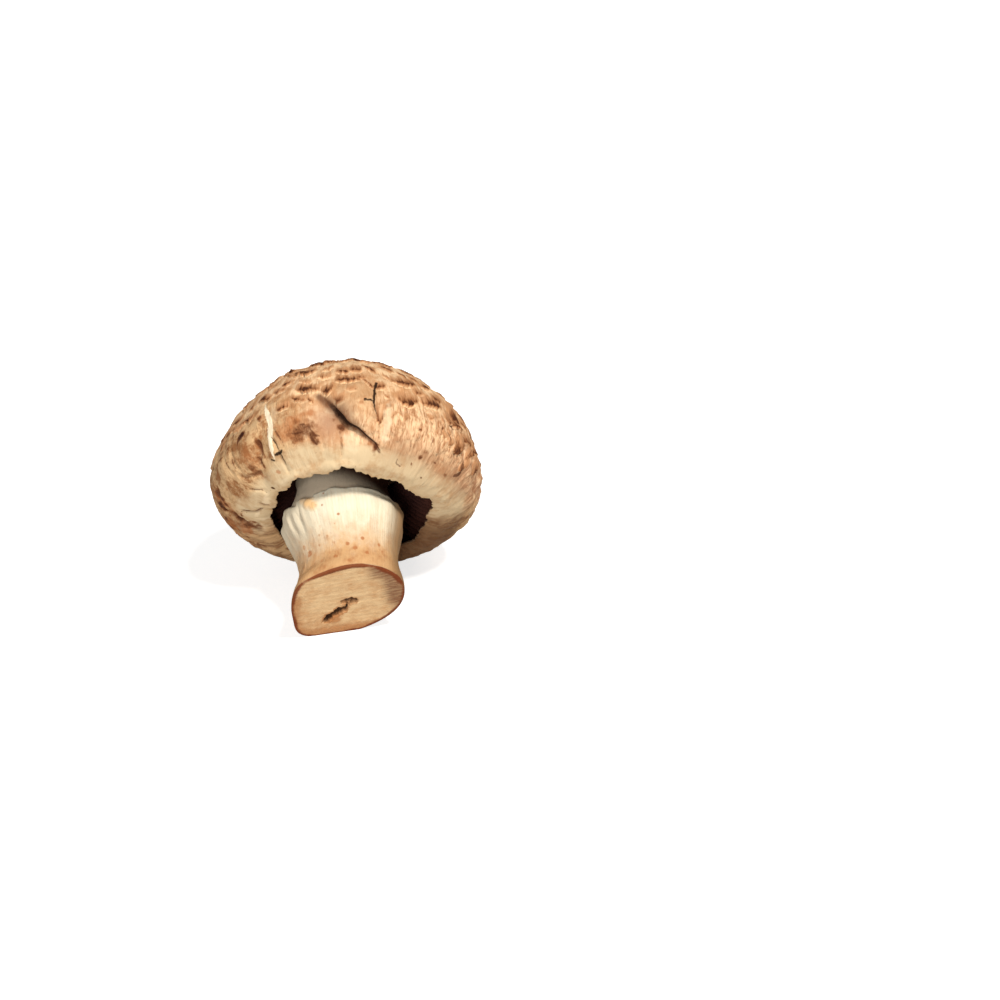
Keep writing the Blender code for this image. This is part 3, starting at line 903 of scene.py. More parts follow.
# Brown lines: marks of the skin, and where they follow the creases and the valley's edge also painted shade.
# Each: pixels, with the half width in mm at each
BROWN_STROKES = (
    ((298, 428, 0.02), (300, 424.5, 0.10), (304, 423.5, 0.14), (306, 427, 0.02)),
    ((307, 424, 0.04), (310.5, 430, 0.12), (315, 435, 0.24), (319, 436.5, 0.10)),
    ((310, 434, 0.06), (312.5, 440, 0.24), (316, 444, 0.22), (317, 439, 0.06)),
    ((291, 433, 0.10), (296, 434, 0.22), (302, 431.5, 0.10)),
    ((273, 428, 0.06), (278, 435, 0.20), (283, 443, 0.05)),
    ((232, 449, 0.14), (233, 455, 0.12), (235, 462, 0.14), (238, 468, 0.06)),
    ((213, 466, 0.06), (215, 471, 0.10), (217, 467, 0.06)),
    ((234, 516, 0.10), (238, 519, 0.24), (241, 521, 0.10)),
    ((448, 433, 0.06), (449, 439, 0.14), (447, 443, 0.05)),
    ((433, 436, 0.04), (432, 442, 0.12), (431, 446, 0.04)),
    ((411, 440, 0.04), (411.5, 446, 0.10)),
    ((397, 460, 0.08), (396, 464, 0.12), (400.5, 468, 0.16)),
    ((462.5, 461, 0.15), (461.5, 467, 0.5), (459.5, 474, 0.5)),
    ((459, 474.5, 0.5), (455, 475.5, 0.35)),
    ((470, 450, 0.06), (466, 456, 0.16), (463, 461, 0.06)),
    ((462, 430, 0.05), (463, 440, 0.12), (462, 447, 0.05)),
    ((456, 432, 0.04), (455, 442, 0.10), (455, 450, 0.12)),
    ((475, 446, 0.05), (477, 458, 0.14), (474, 470, 0.05)),
    ((249, 489, 0.08), (256, 491, 0.12), (262, 492, 0.10), (268, 496, 0.04)),
    ((240, 512, 0.06), (248, 513, 0.20), (256, 514, 0.12), (264, 513, 0.05)),
    ((235, 532, 0.05), (244, 537, 0.16), (252, 541, 0.06)),
    ((341, 438, 0.02), (341.5, 447, 0.08), (342, 456, 0.02)),
    ((257, 440, 0.20), (258.5, 448, 0.22), (259, 456, 0.14), (259, 466, 0.20)),
)


def blots(marks):
    """The strongest of the marks at each point: strength * (1.6 - distance), the distance in half widths and
    pushed in and out by a noise, so that no mark is round."""
    level = np.zeros(PHI.shape)
    wobble = 1.0 + 0.45 * soft_noise(PHI, V / 0.7, 240, 32) + 0.25 * soft_noise(PHI, V / 1.6, 90, 33)
    for phi, t, round_mm, along_mm, strength in marks:
        away = np.hypot(turned(PHI, phi) * WIDE / round_mm, (V - along_section(t)) / along_mm)
        level = np.maximum(level, strength * np.clip(1.6 - away * wobble, 0.0, 1.0))
    return level


def line_field(paths):
    """Millimetres from each point to the edge of the nearest line: its distance from the path less the half width."""
    field = np.full(PHI.shape, 2.0)
    for path in map(on_cap, paths):
        right, along, _ = beside_path([(phi, t) for phi, t, _ in path])
        half = np.interp(along, np.linspace(0.0, 1.0, len(path)), [width for _, _, width in path])
        field = np.minimum(field, np.abs(right) - half)
    return field


MARGIN_LINE = ((-180, 119), (-100, 124), (-60, 124), (-22, 117), (5, 121), (25, 124), (50, 124), (70, 119), (180, 119))


def zones():
    """Where the cap's tones are: duller on the left in front, cream at the margin, pink by the fold, tan on the right
    edge, and painted shade: darker low down on the sides, under the rim on the right and on the margin's right."""
    waver = 2.5 * soft_noise(PHI, V / 4.0, 40, 31)
    left = smooth(PHI, -130.0, -95.0) * (1.0 - smooth(PHI, -32.0, -10.0)) * smooth(T, 62.0, 92.0)
    margin_start = np.interp(PHI, *np.array(MARGIN_LINE).T)
    margin = smooth(T + 1.6 * waver, margin_start - 7.0, margin_start + 9.0)
    pink = bell(turned(PHI, -7.5) * WIDE, 3.4) * bell(V - along_section(101.0), 4.2)
    # Painted shade: the lower sides and the underside darker.
    low = smooth(np.abs(PHI) + 2.0 * waver, 72.0, 108.0) * smooth(T + waver, 98.0, 116.0)
    edge = smooth(PHI + waver, 50.0, 66.0) * (1.0 - smooth(PHI, 95.0, 115.0))
    edge = edge * smooth(T, 84.0, 96.0) * (1.0 - smooth(T, 118.0, 128.0))
    # Painted shade under the rim on the right side, behind the stem.
    under = smooth(PHI, 82.0, 112.0) * (1.0 - smooth(PHI, 150.0, 175.0)) * smooth(T + waver, 112.0, 128.0)
    # Painted shade on the right of the margin.
    right_margin_shade = smooth(PHI, 6.0, 28.0) * (1.0 - smooth(PHI, 70.0, 90.0)) * bell(T + waver - 119.0, 9.0)
    return left, margin, pink, low, edge, under, right_margin_shade


left_zone, margin_zone, pink_zone, low_shade_zone, edge_zone, under_shade_zone, right_margin_shade_zone = zones()
fold_wide = np.interp(fold_along, (0.0, 0.12, 0.25, 0.4, 0.52, 0.65, 0.8, 1.0), (0.2, 0.4, 0.65, 1.0, 0.95, 0.5, 0.28, 0.1))
# Painted shade along the fold's crease and in the hollow left of it, widest in the middle.
fold_crease_shade = bell(fold_right + 0.5 * fold_wide, 1.05 * fold_wide) * smooth(fold_along, 0.05, 0.42)
# Brown along both sides of the fold's crease, wider on the lip: partly the flesh's own brown, partly painted shade of
# the lip's underside.
fold_brown_and_shade = bell((fold_right + 0.4) / np.where(fold_right > -0.4, 2.6, 1.9), fold_wide) * smooth(fold_along, 0.0, 0.12)
fold_lip = bell(fold_right - 4.5, 3.6) * fold_ends * (1.0 - smooth(T, 108.0, 118.0))
print("share of the cap that is bruised:", round(float((blots(BRUISES) > 0.4).mean()), 3))

# %% Build the cap


def puckers(phi, v, cells, stretch, seed):
    """Rounded cushions with sharp creases between: twice the size of a noise that changes sign along them, less 1."""
    drift = 2.4 * soft_noise(phi, v / 5.0, 40, seed + 1)
    return 2.0 * np.sqrt(np.abs(soft_noise(phi + drift, v / stretch, cells, seed))) - 1.0


fine = 0.07 * soft_noise(PHI, V / 1.9, 250, 41) * (1.0 + 0.6 * shaggy(PHI, T))
middle = 0.17 * soft_noise(PHI, V / 1.8, 76, 42) + 0.20 * soft_noise(PHI, V / 5.0, 26, 43)
in_front = bell(turned(PHI, -8.0), 32.0) * smooth(T, 84.0, 94.0)
middle = middle + (0.11 + 0.09 * shaggy(PHI, T)) * puckers(PHI, V, 74, 2.7, 44) * (1.0 - 0.7 * in_front)
calm = 1.0 - 0.35 * left_zone * smooth(T, 88.0, 98.0)
calm = calm * (1.0 - 0.55 * margin_zone) * (1.0 - 0.7 * np.clip(pink_zone * 1.5, 0.0, 1.0))
threads = 0.06 * soft_noise(PHI, V / 2.0, 230, 24) * margin_zone
to_sides = 1.0 - 0.5 * smooth(np.abs(PHI), 50.0, 75.0) * (1.0 - smooth(np.abs(PHI), 130.0, 150.0))
shag_relief = (shag_height - 0.2 * shag_gap) * shaggy(PHI, T) * to_sides
relief = (fine + middle) * calm * smooth(T, 1.0, 30.0) + scale_height - 0.36 * scale_gap + shag_relief + threads
relief = relief - 1.3 * crease_depth - 0.14
fold_phi = PHI - fold_slide * fold_heading[..., 1] / WIDE
fold_t = np.interp(V + fold_slide * fold_heading[..., 0], section_v, section_t)
outside = slice(0, CAP_ROWS)
outer_r, outer_z = cap_surface(fold_phi[outside], fold_t[outside], (slow_height + relief)[outside])
cap_r, cap_z = cap_rings(outer_r, outer_z, relief, cap_phi[:-1])
wall_rows = cap_r.shape[0] - len(cap_v)
wall_phi = np.broadcast_to(cap_phi[:-1], (wall_rows, CAP_COLUMNS))
cap_all_phi = np.concatenate((fold_phi, wall_phi))
wall_step = np.hypot(np.diff(cap_r, axis=0), np.diff(cap_z, axis=0)).mean(axis=1)[-wall_rows:]
cap_all_v = np.concatenate((cap_v, cap_v[-1] + np.cumsum(wall_step)))


def with_wall(values, inside):
    """A mask of the outside and the lip, continued with one value over the inner wall."""
    return np.concatenate((values, np.full((wall_rows, CAP_COLUMNS), inside)))


cap_masks = {
    "scale": with_wall(scale_brown * (1.0 - margin_zone), 0.0),
    "gap": with_wall(np.maximum(scale_gap, shag_gap * shaggy(PHI, T)) * (1.0 - scale_brown), 0.0),
    "shag": with_wall(shaggy(PHI, T), 0.0),
    "shag_tip": with_wall(shag_tip * shaggy(PHI, T), 0.0),
    "left": with_wall(left_zone, 0.0),
    "low": with_wall(low_shade_zone, 0.0),
    "margin": with_wall(margin_zone, 1.0),
    "pink": with_wall(pink_zone, 0.0),
    "bruise": with_wall(blots(BRUISES), 0.0),
    "rust": with_wall(blots(RUST), 0.0),
    "pale": with_wall(blots(on_cap(SEEN_HIGHLIGHTS)), 0.0),
    "crease": with_wall(np.clip(1.3 * crease_depth, 0.0, 1.0), 0.0),
    "brown_line": with_wall(line_field(BROWN_STROKES), 2.0),
    "fold_crease_shade": with_wall(fold_crease_shade, 0.0),
    "fold_lip": with_wall(fold_lip, 0.0),
    "edge": with_wall(edge_zone, 0.0),
    "under": with_wall(under_shade_zone, 0.0),
    "right_margin_shade": with_wall(right_margin_shade_zone, 0.0),
    "fold_brown_and_shade": with_wall(fold_brown_and_shade, 0.0),
    "inside": with_wall(0.0 * PHI, 1.0),
}
grain_phi = np.broadcast_to(cap_phi[:-1], cap_r.shape)
grain_r = CAP_RADIUS * sind(90.0 * np.minimum(cap_all_v / CROWN_V, 1.0))
cap_masks["grain"] = spin(grain_r[:, None], grain_phi, cap_all_v[:, None])
cap_sheet = np.broadcast_arrays(cap_phi[None, :] * WIDE, cap_all_v[:, None])
cap_points = spin(cap_r, cap_all_phi, cap_z)
cap_ends = ((0.0, 0.0, CROWN_HEIGHT - 0.1), (0.0, 0.0, CEILING))
cap = grow_skin("cap_skin", cap_points, cap_ends, cap_masks, cap_sheet)
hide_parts("cap")

# %% [markdown]
# ## Gills
#
# The gills are thin blades that run from the cap's flesh towards the stem, three lengths of them by turns.
# On the real mushroom there are hundreds, too thin to build one by one. A height field does it: rings of
# points follow the underside, and the height between a blade's foot and its edge swings with phi.

# %% Gills
BLADES = 156
GILL_COLUMNS = BLADES * 8
GILL_R = np.array((22.7, 22.0, 21.0, 19.5, 18.0, 16.5, 15.0, 13.6, 12.4, 11.4, 10.6))
GILL_FOOT = np.array((-0.5, 0.7, 1.6, 2.0, 2.1, 2.1, 2.1, 2.1, 2.1, 2.1, 2.1))
LONG_EDGE = np.array((-2.7, -3.7, -4.5, -5.1, -5.2, -5.0, -4.5, -3.7, -2.8, -1.7, -0.6))
MIDDLE_EDGE = np.array((-2.6, -3.5, -4.2, -4.6, -4.4, -3.6, -2.2, -0.3, 1.5, 2.1, 2.1))
SHORT_EDGE = np.array((-2.5, -3.2, -3.6, -3.2, -1.6, 0.8, 2.1, 2.1, 2.1, 2.1, 2.1))
GILL_TOP = 3.0


def gill_points():
    """Rings from the inner edge of the gills' flat back out to the shoulder, then in along the blades. A blade's
    height is foot + (edge - foot) * fin, where fin is a narrow bump that repeats BLADES times round."""
    phi = np.arange(GILL_COLUMNS) * 360.0 / GILL_COLUMNS
    place = phi / 360.0 * BLADES
    number = np.floor(place).astype(int) % BLADES
    fin = np.clip(1.9 * (1.0 - np.abs(2.0 * (place % 1.0) - 1.0)) - 0.45, 0.0, 1.0)
    sway = np.random.default_rng(51).uniform(-0.25, 0.25, (2, BLADES))
    kind = np.where(number % 2 == 0, 0, np.where(number % 4 == 1, 1, 2))
    edges = np.stack((LONG_EDGE, MIDDLE_EDGE, SHORT_EDGE))
    rings = [spin(10.6, phi, GILL_TOP), spin(20.4, phi, GILL_TOP), spin(22.5, phi, 1.3)]
    for k, (r, foot) in enumerate(zip(GILL_R, GILL_FOOT)):
        edge = np.minimum(edges[kind, k] + 0.6 * np.abs(sway[0][number]), foot)
        lean = sway[1][number] * fin * 1.2
        rings.append(spin(r, phi + lean, foot + (edge - foot) * fin))
    return np.stack(rings), phi


gill_rings, gill_phi = gill_points()
gill_depth = np.broadcast_to(np.clip((2.1 - gill_rings[..., 2]) / 7.0, 0.0, 1.0), gill_rings.shape[:2])
gills = grow_skin("gill_blades", gill_rings, None, {"depth": gill_depth, "grain": gill_rings}, None)
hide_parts("gills")

# %% [markdown]
# ## Stem
#
# The stem is a turned form too: the neck inside the cap, a narrow crevice, the sleeve of torn veil that
# grew fused to the stem and stands off at its ragged top, the shank with its long fibres, and the slanted
# knife cut with two slits where the pith has dried. Its own axis bends a little off the cap's.

# %% Stem form
STEM_AXIS = ((-27.0, -1.3, -0.5), (-20.0, -0.6, -0.4), (-9.0, -1.6, -0.3), (3.0, -1.2, 0.0))
STEM_COLUMNS = 384
NECK = ((7.8, 3.0), (8.7, 2.3), (8.9, -2.0), (9.6, -5.0), (10.4, -7.2), (10.9, -9.0), (10.9, -10.4))
SLEEVE_RADIUS, SLEEVE_TOP = 11.75, -8.4
SLEEVE_RIBS = 16
SLEEVE_NOTCHES = ((60.0, 9.0, 0.8), (140.0, 12.0, 1.2), (-120.0, 10.0, 0.9))
SLEEVE_PIXELS = (
    (289, 508), (296, 506), (297, 501), (300, 498.5), (310, 497), (313, 493), (320, 490), (325, 489), (328, 487),
    (333, 486), (345, 488), (352, 487), (360, 487), (368, 488), (378, 490), (385, 493), (391, 496), (394, 500),
    (398, 503),
)
SHANK = ((11.75, -9.0), (11.8, -11.2), (11.1, -13.8), (10.2, -16.6), (9.75, -19.4), (9.75, -22.4), (10.15, -24.6))
CUT_RADIUS, CUT_DEPTH = 10.6, 26.6
CUT_SLOPE = (-0.16, -0.14)
CUT_LOBES = ((-133.0, 20.0, 1.9), (-50.0, 18.0, 0.8), (45.0, 25.0, -0.4), (120.0, 28.0, 0.5))
SHANK_ROWS, FACE_ROWS = 92, 56
FLAP_ROWS = ((-0.95, -1.2), (-0.9, -0.55), (-0.75, -0.2), (-0.55, -0.03), (-0.3, 0.0), (-0.1, -0.12), (0.0, -0.4))

stem_phi = np.arange(STEM_COLUMNS + 1) * 360.0 / STEM_COLUMNS - 180.0


def axis_at(z):
    """x and y of the stem's bent axis at the height z."""
    height, x, y = np.array(STEM_AXIS).T
    return np.stack((np.interp(z, height, x), np.interp(z, height, y)), axis=-1)


def eased(points, x):
    """A smooth curve through (value, place) points, by cubic pieces whose slope at a point is the mean of both sides."""
    values, places = np.array(points).T
    order = np.argsort(places)
    values, places = values[order], places[order]
    slope = np.gradient(values, places)
    k = np.clip(np.searchsorted(places, x) - 1, 0, len(places) - 2)
    gap = places[k + 1] - places[k]
    s = np.clip((x - places[k]) / gap, 0.0, 1.0)
    ease = s * s * (3.0 - 2.0 * s)
    bend = gap * (slope[k] * s * (1 - s) ** 2 - slope[k + 1] * (1 - s) * s**2)
    return values[k] * (1 - ease) + values[k + 1] * ease + bend


def sleeve_from_pixels():
    """phi and height of the sleeve's edge where the photograph shows it: SLEEVE_PIXELS on the sleeve's cylinder."""
    z, phi = np.meshgrid(np.arange(-5.0, -16.0, -0.05), np.arange(-110.0, 80.0, 0.5), indexing="ij")
    points = spin(SLEEVE_RADIUS, phi, z)
    points[..., :2] += axis_at(z)
    seen = seen_from(points)
    places = [nearest_seen(seen, pixel) for pixel in SLEEVE_PIXELS]
    return np.array(sorted((phi[place], z[place]) for place in places)).T


EDGE_PHI, EDGE_Z = sleeve_from_pixels()
print("sleeve read from phi", EDGE_PHI[0], "to", EDGE_PHI[-1], "heights", EDGE_Z.min().round(2), "to", EDGE_Z.max().round(2))


def sleeve_top(phi):
    """Height of the torn sleeve's edge: as read in front, elsewhere a ripple and a bell for each tear, with teeth."""
    tear = sum(deep * bell(turned(phi, p), w) for p, w, deep in SLEEVE_NOTCHES)
    teeth = 0.08 * soft_noise(phi, 0 * phi, 120, 61) + 0.06 * soft_noise(phi, 0 * phi, 52, 62)
    hidden = SLEEVE_TOP - tear + 0.25 * cosd(7 * phi + 70)
    read = smooth(phi, EDGE_PHI[0] - 12.0, EDGE_PHI[0]) * (1.0 - smooth(phi, EDGE_PHI[-1], EDGE_PHI[-1] + 12.0))
    return teeth + read * np.interp(phi, EDGE_PHI, EDGE_Z) + (1.0 - read) * hidden


def stem_relief(phi, z):
    """Raised and sunk parts of the stem's side, in mm: broad ribs that fade downward, pleats of the sleeve on the
    left, fine long fibres and a few dents lower down."""
    down = SLEEVE_TOP - z
    ribs = 0.16 * sind(SLEEVE_RIBS * phi + 40.0 * sind(3.0 * phi)) * 0.85 ** np.clip(down, 0.0, 30.0)
    wave = 0.2 * sind(2 * phi + 30) + 0.15 * sind(3 * phi)
    on_left = smooth(phi, -115.0, -85.0) * (1.0 - smooth(phi, -48.0, -34.0))
    pleats = 0.30 * sind(32.0 * phi + 18.0 * np.sin(z / 2.3)) * on_left * smooth(down, 0.0, 1.0) * (1.0 - smooth(down, 4.0, 8.0))
    fibres = 0.022 * soft_noise(phi, down / 5.0 + 4.0, 190, 63) + 0.04 * soft_noise(phi, down / 7.0 + 4.0, 80, 64)
    dents = 0.10 * soft_noise(phi, down / 1.8 + 4.0, 30, 65) * smooth(down, 4.0, 9.0)
    return ribs + wave + pleats + fibres + dents


# %% Cut face
# The slits: start and end as x and y about the cap's axis, half width, depth, in mm
SLITS = (
    ((-6.2, 5.3), (-3.2, 2.3), 0.85, 1.4),
    ((-4.4, 3.3), (-1.4, 1.7), 0.95, 1.6),
    ((-2.6, -0.6), (1.0, 0.2), 0.8, 0.8),
    ((-1.9, 1.9), (-0.6, 0.2), 0.35, 0.6),
)


def slit_depth(x, y, grow=0.0):
    """Depth of the slits at (x, y): each is a lens about its line, its edge waved by a sine. grow widens them, in mm."""
    depth = 0.0 * x
    for (ax, ay), (bx, by), half, deep in SLITS:
        length = math.hypot(bx - ax, by - ay)
        ux, uy = (bx - ax) / length, (by - ay) / length
        along = ((x - ax) * ux + (y - ay) * uy) / length
        across = (x - ax) * uy - (y - ay) * ux + 0.16 * np.sin(9.0 * along) + 0.12 * np.sin(23.0 * along + ay)
        width = (half + grow) * np.sqrt(np.clip(4.0 * along * (1.0 - along), 0.0, 1.0))
        depth = np.maximum(depth, deep * (1.0 - smooth(np.abs(across), 0.55 * width, width + 0.12)) * (width > 0.0))
    return depth


def cut_height(r, phi, bulge):
    """Height of the slanted cut: the knife's plane, bulged outward a little, with the knife's faint ridges."""
    slope = CUT_SLOPE[0] * r * sind(phi) + CUT_SLOPE[1] * r * cosd(phi)
    return -(CUT_DEPTH + slope + bulge)


# %% Build the stem


def stem_points():
    """All rings of the stem from its top to its cut, with the kind of each ring."""
    phi = stem_phi[:-1]
    r_rows, z_rows = [], []
    for z in np.linspace(3.0, -10.4, 15):
        r_rows.append(0 * phi + eased(NECK, z))
        z_rows.append(0 * phi + z)
    neck = len(r_rows)
    top, edge = sleeve_top(phi), SLEEVE_RADIUS + 0.3 * sind(5 * phi + 20)
    for out, up in FLAP_ROWS:
        r_rows.append(edge + out)
        z_rows.append(top + up)
    flap = len(r_rows)
    wave_at_top = stem_relief(phi, top - 0.4)
    lobe = sum(out * bell(turned(phi, p), w) for p, w, out in CUT_LOBES)
    rim = CUT_RADIUS + lobe
    foot = cut_height(rim, phi, -0.35)
    for s in np.linspace(0.0, 1.0, SHANK_ROWS + 1)[1:]:
        z = (top - 0.4) + (foot - top + 0.4) * s
        form = eased(SHANK, np.clip(z, -24.6, -9.0)) + stem_relief(phi, z)
        above_foot = z - foot
        flare = smooth(1.0 - above_foot / 4.5) * (rim + 0.04 - form)
        settle = smooth(1.0 - s * 8.0)
        r_rows.append((form + flare) * (1 - settle) + (edge + stem_relief(phi, z) - wave_at_top) * settle)
        z_rows.append(z)
    shank = len(r_rows)
    for out, bulge in ((0.05, -0.12), (0.0, -0.03), (-0.12, 0.05), (-0.35, 0.1)):
        r_rows.append(rim + out)
        z_rows.append(cut_height(rim + out, phi, bulge))
    for s in np.linspace(1.0, 0.0, FACE_ROWS + 1)[1:-1]:
        r = (rim - 0.4) * s
        r_rows.append(r)
        z_rows.append(cut_height(r, phi, 0.1))
    r, z = np.stack(r_rows), np.stack(z_rows)
    points = spin(r, phi, z)
    points[..., :2] += axis_at(points[..., 2])
    face = np.arange(len(r)) >= shank
    x, y = points[..., 0], points[..., 1]
    slit = slit_depth(x, y) * face[:, None]
    knife = 0.018 * np.sin(2.2 * y + 0.3 * x + 1.3 * np.sin(0.9 * x)) + 0.014 * np.sin(5.1 * y - 0.4 * x)
    points[..., 2] += slit + knife * face[:, None] * smooth(rim - r, 0.3, 1.2)
    return points, r, rim, (neck, flap, shank), slit


stem_grid, stem_r, stem_rim, (neck_end, flap_end, shank_end), stem_slit = stem_points()
stem_rows = len(stem_grid)
stem_face = (np.arange(stem_rows) >= shank_end)[:, None] + 0.0 * stem_r
stem_z = stem_grid[..., 2]
stem_down = np.clip((sleeve_top(stem_phi[:-1]) - stem_z) / 17.0, 0.0, 1.0)
stem_from_rim = (stem_rim - stem_r) * stem_face
PHI_STEM = np.broadcast_to(stem_phi[:-1], stem_r.shape)
stem_neck = (np.arange(stem_rows) < neck_end + 2)[:, None] + 0.0 * stem_r
neck_shade = smooth(stem_z + 0.07 * np.clip(PHI_STEM, -60.0, 60.0), -7.8, -1.4)
foot_near = 0.8 * bell(stem_z - cut_height(stem_rim, PHI_STEM, -0.1), 0.30) * (1.0 - stem_face)
rim_strength = 0.85 + 0.3 * soft_noise(PHI_STEM, 0.0 * PHI_STEM, 26, 66)
rim_strength = rim_strength + 0.35 * bell(turned(PHI_STEM, -150.0), 45.0) + 0.25 * bell(turned(PHI_STEM, 170.0), 40.0)
stem_x, stem_y = stem_grid[..., 0], stem_grid[..., 1]


def face_blot(x, y, wide, tall, strength):
    """A soft ellipse on the cut face, centred at (x, y) about the cap's axis."""
    return strength * bell(np.hypot((stem_x - x) / wide, (stem_y - y) / tall), 1.0) * stem_face


# Spots on the stem. Each: pixel, radius in mm, strength
STEM_SPOTS = (
    (338, 514, 0.26, 1.0),
    (334, 523, 0.2, 0.7),
    (319, 535, 0.35, 0.6),
    (327, 536, 0.35, 0.5),
    (362, 538, 0.34, 1.1),
    (379, 545, 0.34, 0.9),
    (332, 543, 0.9, 0.4),
    (347, 543, 0.4, 0.8),
    (355, 548, 0.45, 0.8),
    (367, 552, 0.4, 0.8),
    (310, 554, 0.7, 0.7),
    (304, 548, 0.5, 0.6),
    (322, 505, 0.25, 0.8),
    (316, 506, 0.4, 0.6),
    (323, 493, 0.2, 0.9),
    (336, 556, 0.5, 0.7),
    (350, 560, 0.5, 0.6),
    (322, 561, 0.6, 0.6),
)
BLISTER = ((305, 502.5, 0.8), (309, 503.5, 1.0), (313.5, 505.5, 0.8))
stem_seen = seen_from(stem_grid)


def stem_blots(marks):
    """The strongest of round marks at each point of the stem: strength * (1.6 - distance in radii)."""
    level = np.zeros(stem_r.shape)
    for x, y, radius, strength in marks:
        away = np.linalg.norm(stem_grid - stem_grid[nearest_seen(stem_seen, (x, y))], axis=-1)
        level = np.maximum(level, strength * np.clip(1.6 - away / radius, 0.0, 1.0))
    return level


blister = stem_blots([(x, y, radius, 1.0) for x, y, radius in BLISTER]) * (stem_z < SLEEVE_TOP + 0.6)
stem_grid[..., :2] *= 1.0 + 0.035 * blister[..., None]

right_rim = stem_face * smooth(PHI_STEM, 8.0, 40.0) * (1.0 - smooth(PHI_STEM, 105.0, 135.0))
low_rim = stem_face * np.maximum(1.0 - smooth(PHI_STEM, -85.0, -55.0), smooth(PHI_STEM, 130.0, 150.0))
stem_masks = {
    "spots": stem_blots(STEM_SPOTS) * (1.0 - stem_face),
    "blister": blister,
    "face": stem_face,
    "down": stem_down * (1.0 - stem_face),
    "neck": stem_neck,
    "neck_shade": neck_shade,
    "cut_rim": np.clip(stem_face * bell(stem_from_rim, 0.2 + 0.6 * rim_strength) + foot_near, 0.0, 1.0) * rim_strength,
    # Dark in the slits: their dried pith, and painted shade of their depth.
    "slit": np.clip(stem_slit / 1.2, 0.0, 1.0),
    "halo": np.clip(slit_depth(stem_x, stem_y, 0.8) * stem_face, 0.0, 1.0),
    "purple": right_rim * bell(stem_from_rim, 3.4) + 0.5 * face_blot(8.0, -1.0, 2.4, 3.0, 1.0),
    "tan": np.clip(
        face_blot(-8.8, 4.4, 3.4, 4.6, 0.5)
        + face_blot(-4.0, 4.2, 2.0, 1.4, 0.8)
        + face_blot(-1.6, 1.2, 2.4, 1.6, 0.55)
        + face_blot(-0.2, -0.6, 2.4, 0.8, 0.6)
        + face_blot(-3.0, 8.0, 7.0, 2.0, 0.85)
        + face_blot(-10.4, -3.0, 1.4, 3.0, 0.6)
        + face_blot(-0.6, -5.5, 0.9, 0.7, 0.7)
        + face_blot(-3.6, 5.2, 0.7, 0.6, 0.9)
        + 0.8 * low_rim * bell(stem_from_rim, 1.5),
        0.0,
        1.0,
    ),
    # Painted shade: the sleeve's pleated left side greyer.
    "left": smooth(PHI_STEM, -130.0, -90.0) * (1.0 - smooth(PHI_STEM, -48.0, -18.0)) * (1.0 - stem_face),
    # Painted shade: the stem's right side and back darker.
    "right": smooth(PHI_STEM, 38.0, 72.0) * (1.0 - smooth(PHI_STEM, 150.0, 180.0)) * (1.0 - stem_face),
    "grain": np.where(
        stem_face[..., None] > 0.5,
        stem_grid,
        spin(np.full_like(stem_r, SLEEVE_RADIUS), PHI_STEM, stem_z),
    ),
}
stem_top = (*axis_at(3.0), 3.0)
stem_end = (*axis_at(-CUT_DEPTH), -CUT_DEPTH - 0.1)
stem_sheet = np.broadcast_arrays(stem_phi[None, :] * math.radians(SLEEVE_RADIUS), -stem_z.mean(axis=1)[:, None])
stem = grow_skin("stem_flesh", stem_grid, (stem_top, stem_end), stem_masks, stem_sheet)
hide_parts("stem")

# %% [markdown]
# ## Node tools
#
# Writing a material as code gets long when each node takes three lines. So a few helpers place a node and
# wire it up in one call, and give back the socket that comes out. A number, a colour or another socket may
# go in.

# %% Node helpers


def feed(tree, socket, value):
    """Links value to the socket if it is a socket, or else sets it as the socket's own value."""
    if isinstance(value, bpy.types.NodeSocket):
        tree.links.new(value, socket)
    elif value is not None:
        socket.default_value = value


def sum_node(tree, operation, *values, clamp=False):
    """A Math node and its result."""
    made = tree.nodes.new("ShaderNodeMath")
    made.operation, made.use_clamp = operation, clamp
    for socket, value in zip(made.inputs, values):
        feed(tree, socket, value)
    return made.outputs[0]


def vector_node(tree, operation, *values):
    """A Vector Math node and its result, the number for a length or a dot product."""
    made = tree.nodes.new("ShaderNodeVectorMath")
    made.operation = operation
    sockets = [made.inputs[0], made.inputs[3 if operation == "SCALE" else 1]]
    for socket, value in zip(sockets, values):
        feed(tree, socket, value)
    return made.outputs["Value" if operation in ("LENGTH", "DOT_PRODUCT") else "Vector"]


def ramp(tree, value, low, high, start=0.0, end=1.0):
    """An S-shaped step from start to end as the value goes from low to high."""
    made = tree.nodes.new("ShaderNodeMapRange")
    made.interpolation_type = "SMOOTHSTEP"
    for name, given in (("Value", value), ("From Min", low), ("From Max", high), ("To Min", start), ("To Max", end)):
        feed(tree, made.inputs[name], given)
    return made.outputs["Result"]


def noise(tree, vector, scale, detail=3.0, rough=0.55):
    """A Noise texture's value, about 0.5 on average."""
    made = tree.nodes.new("ShaderNodeTexNoise")
    feed(tree, made.inputs["Vector"], vector)
    feed(tree, made.inputs["Scale"], scale)
    feed(tree, made.inputs["Detail"], detail)
    feed(tree, made.inputs["Roughness"], rough)
    return made.outputs["Fac"]


def attribute(tree, name, output="Fac"):
    """A mask that the mesh carries, or a vector with output set to Vector."""
    made = tree.nodes.new("ShaderNodeAttribute")
    made.attribute_name = name
    return made.outputs[output]


def paint(tree, under, colour, mask):
    """Lays a colour over the one under it where the mask says."""
    made = tree.nodes.new("ShaderNodeMix")
    made.data_type = "RGBA"
    feed(tree, made.inputs["Factor"], mask)
    feed(tree, made.inputs["A"], under)
    feed(tree, made.inputs["B"], colour)
    return made.outputs["Result"]


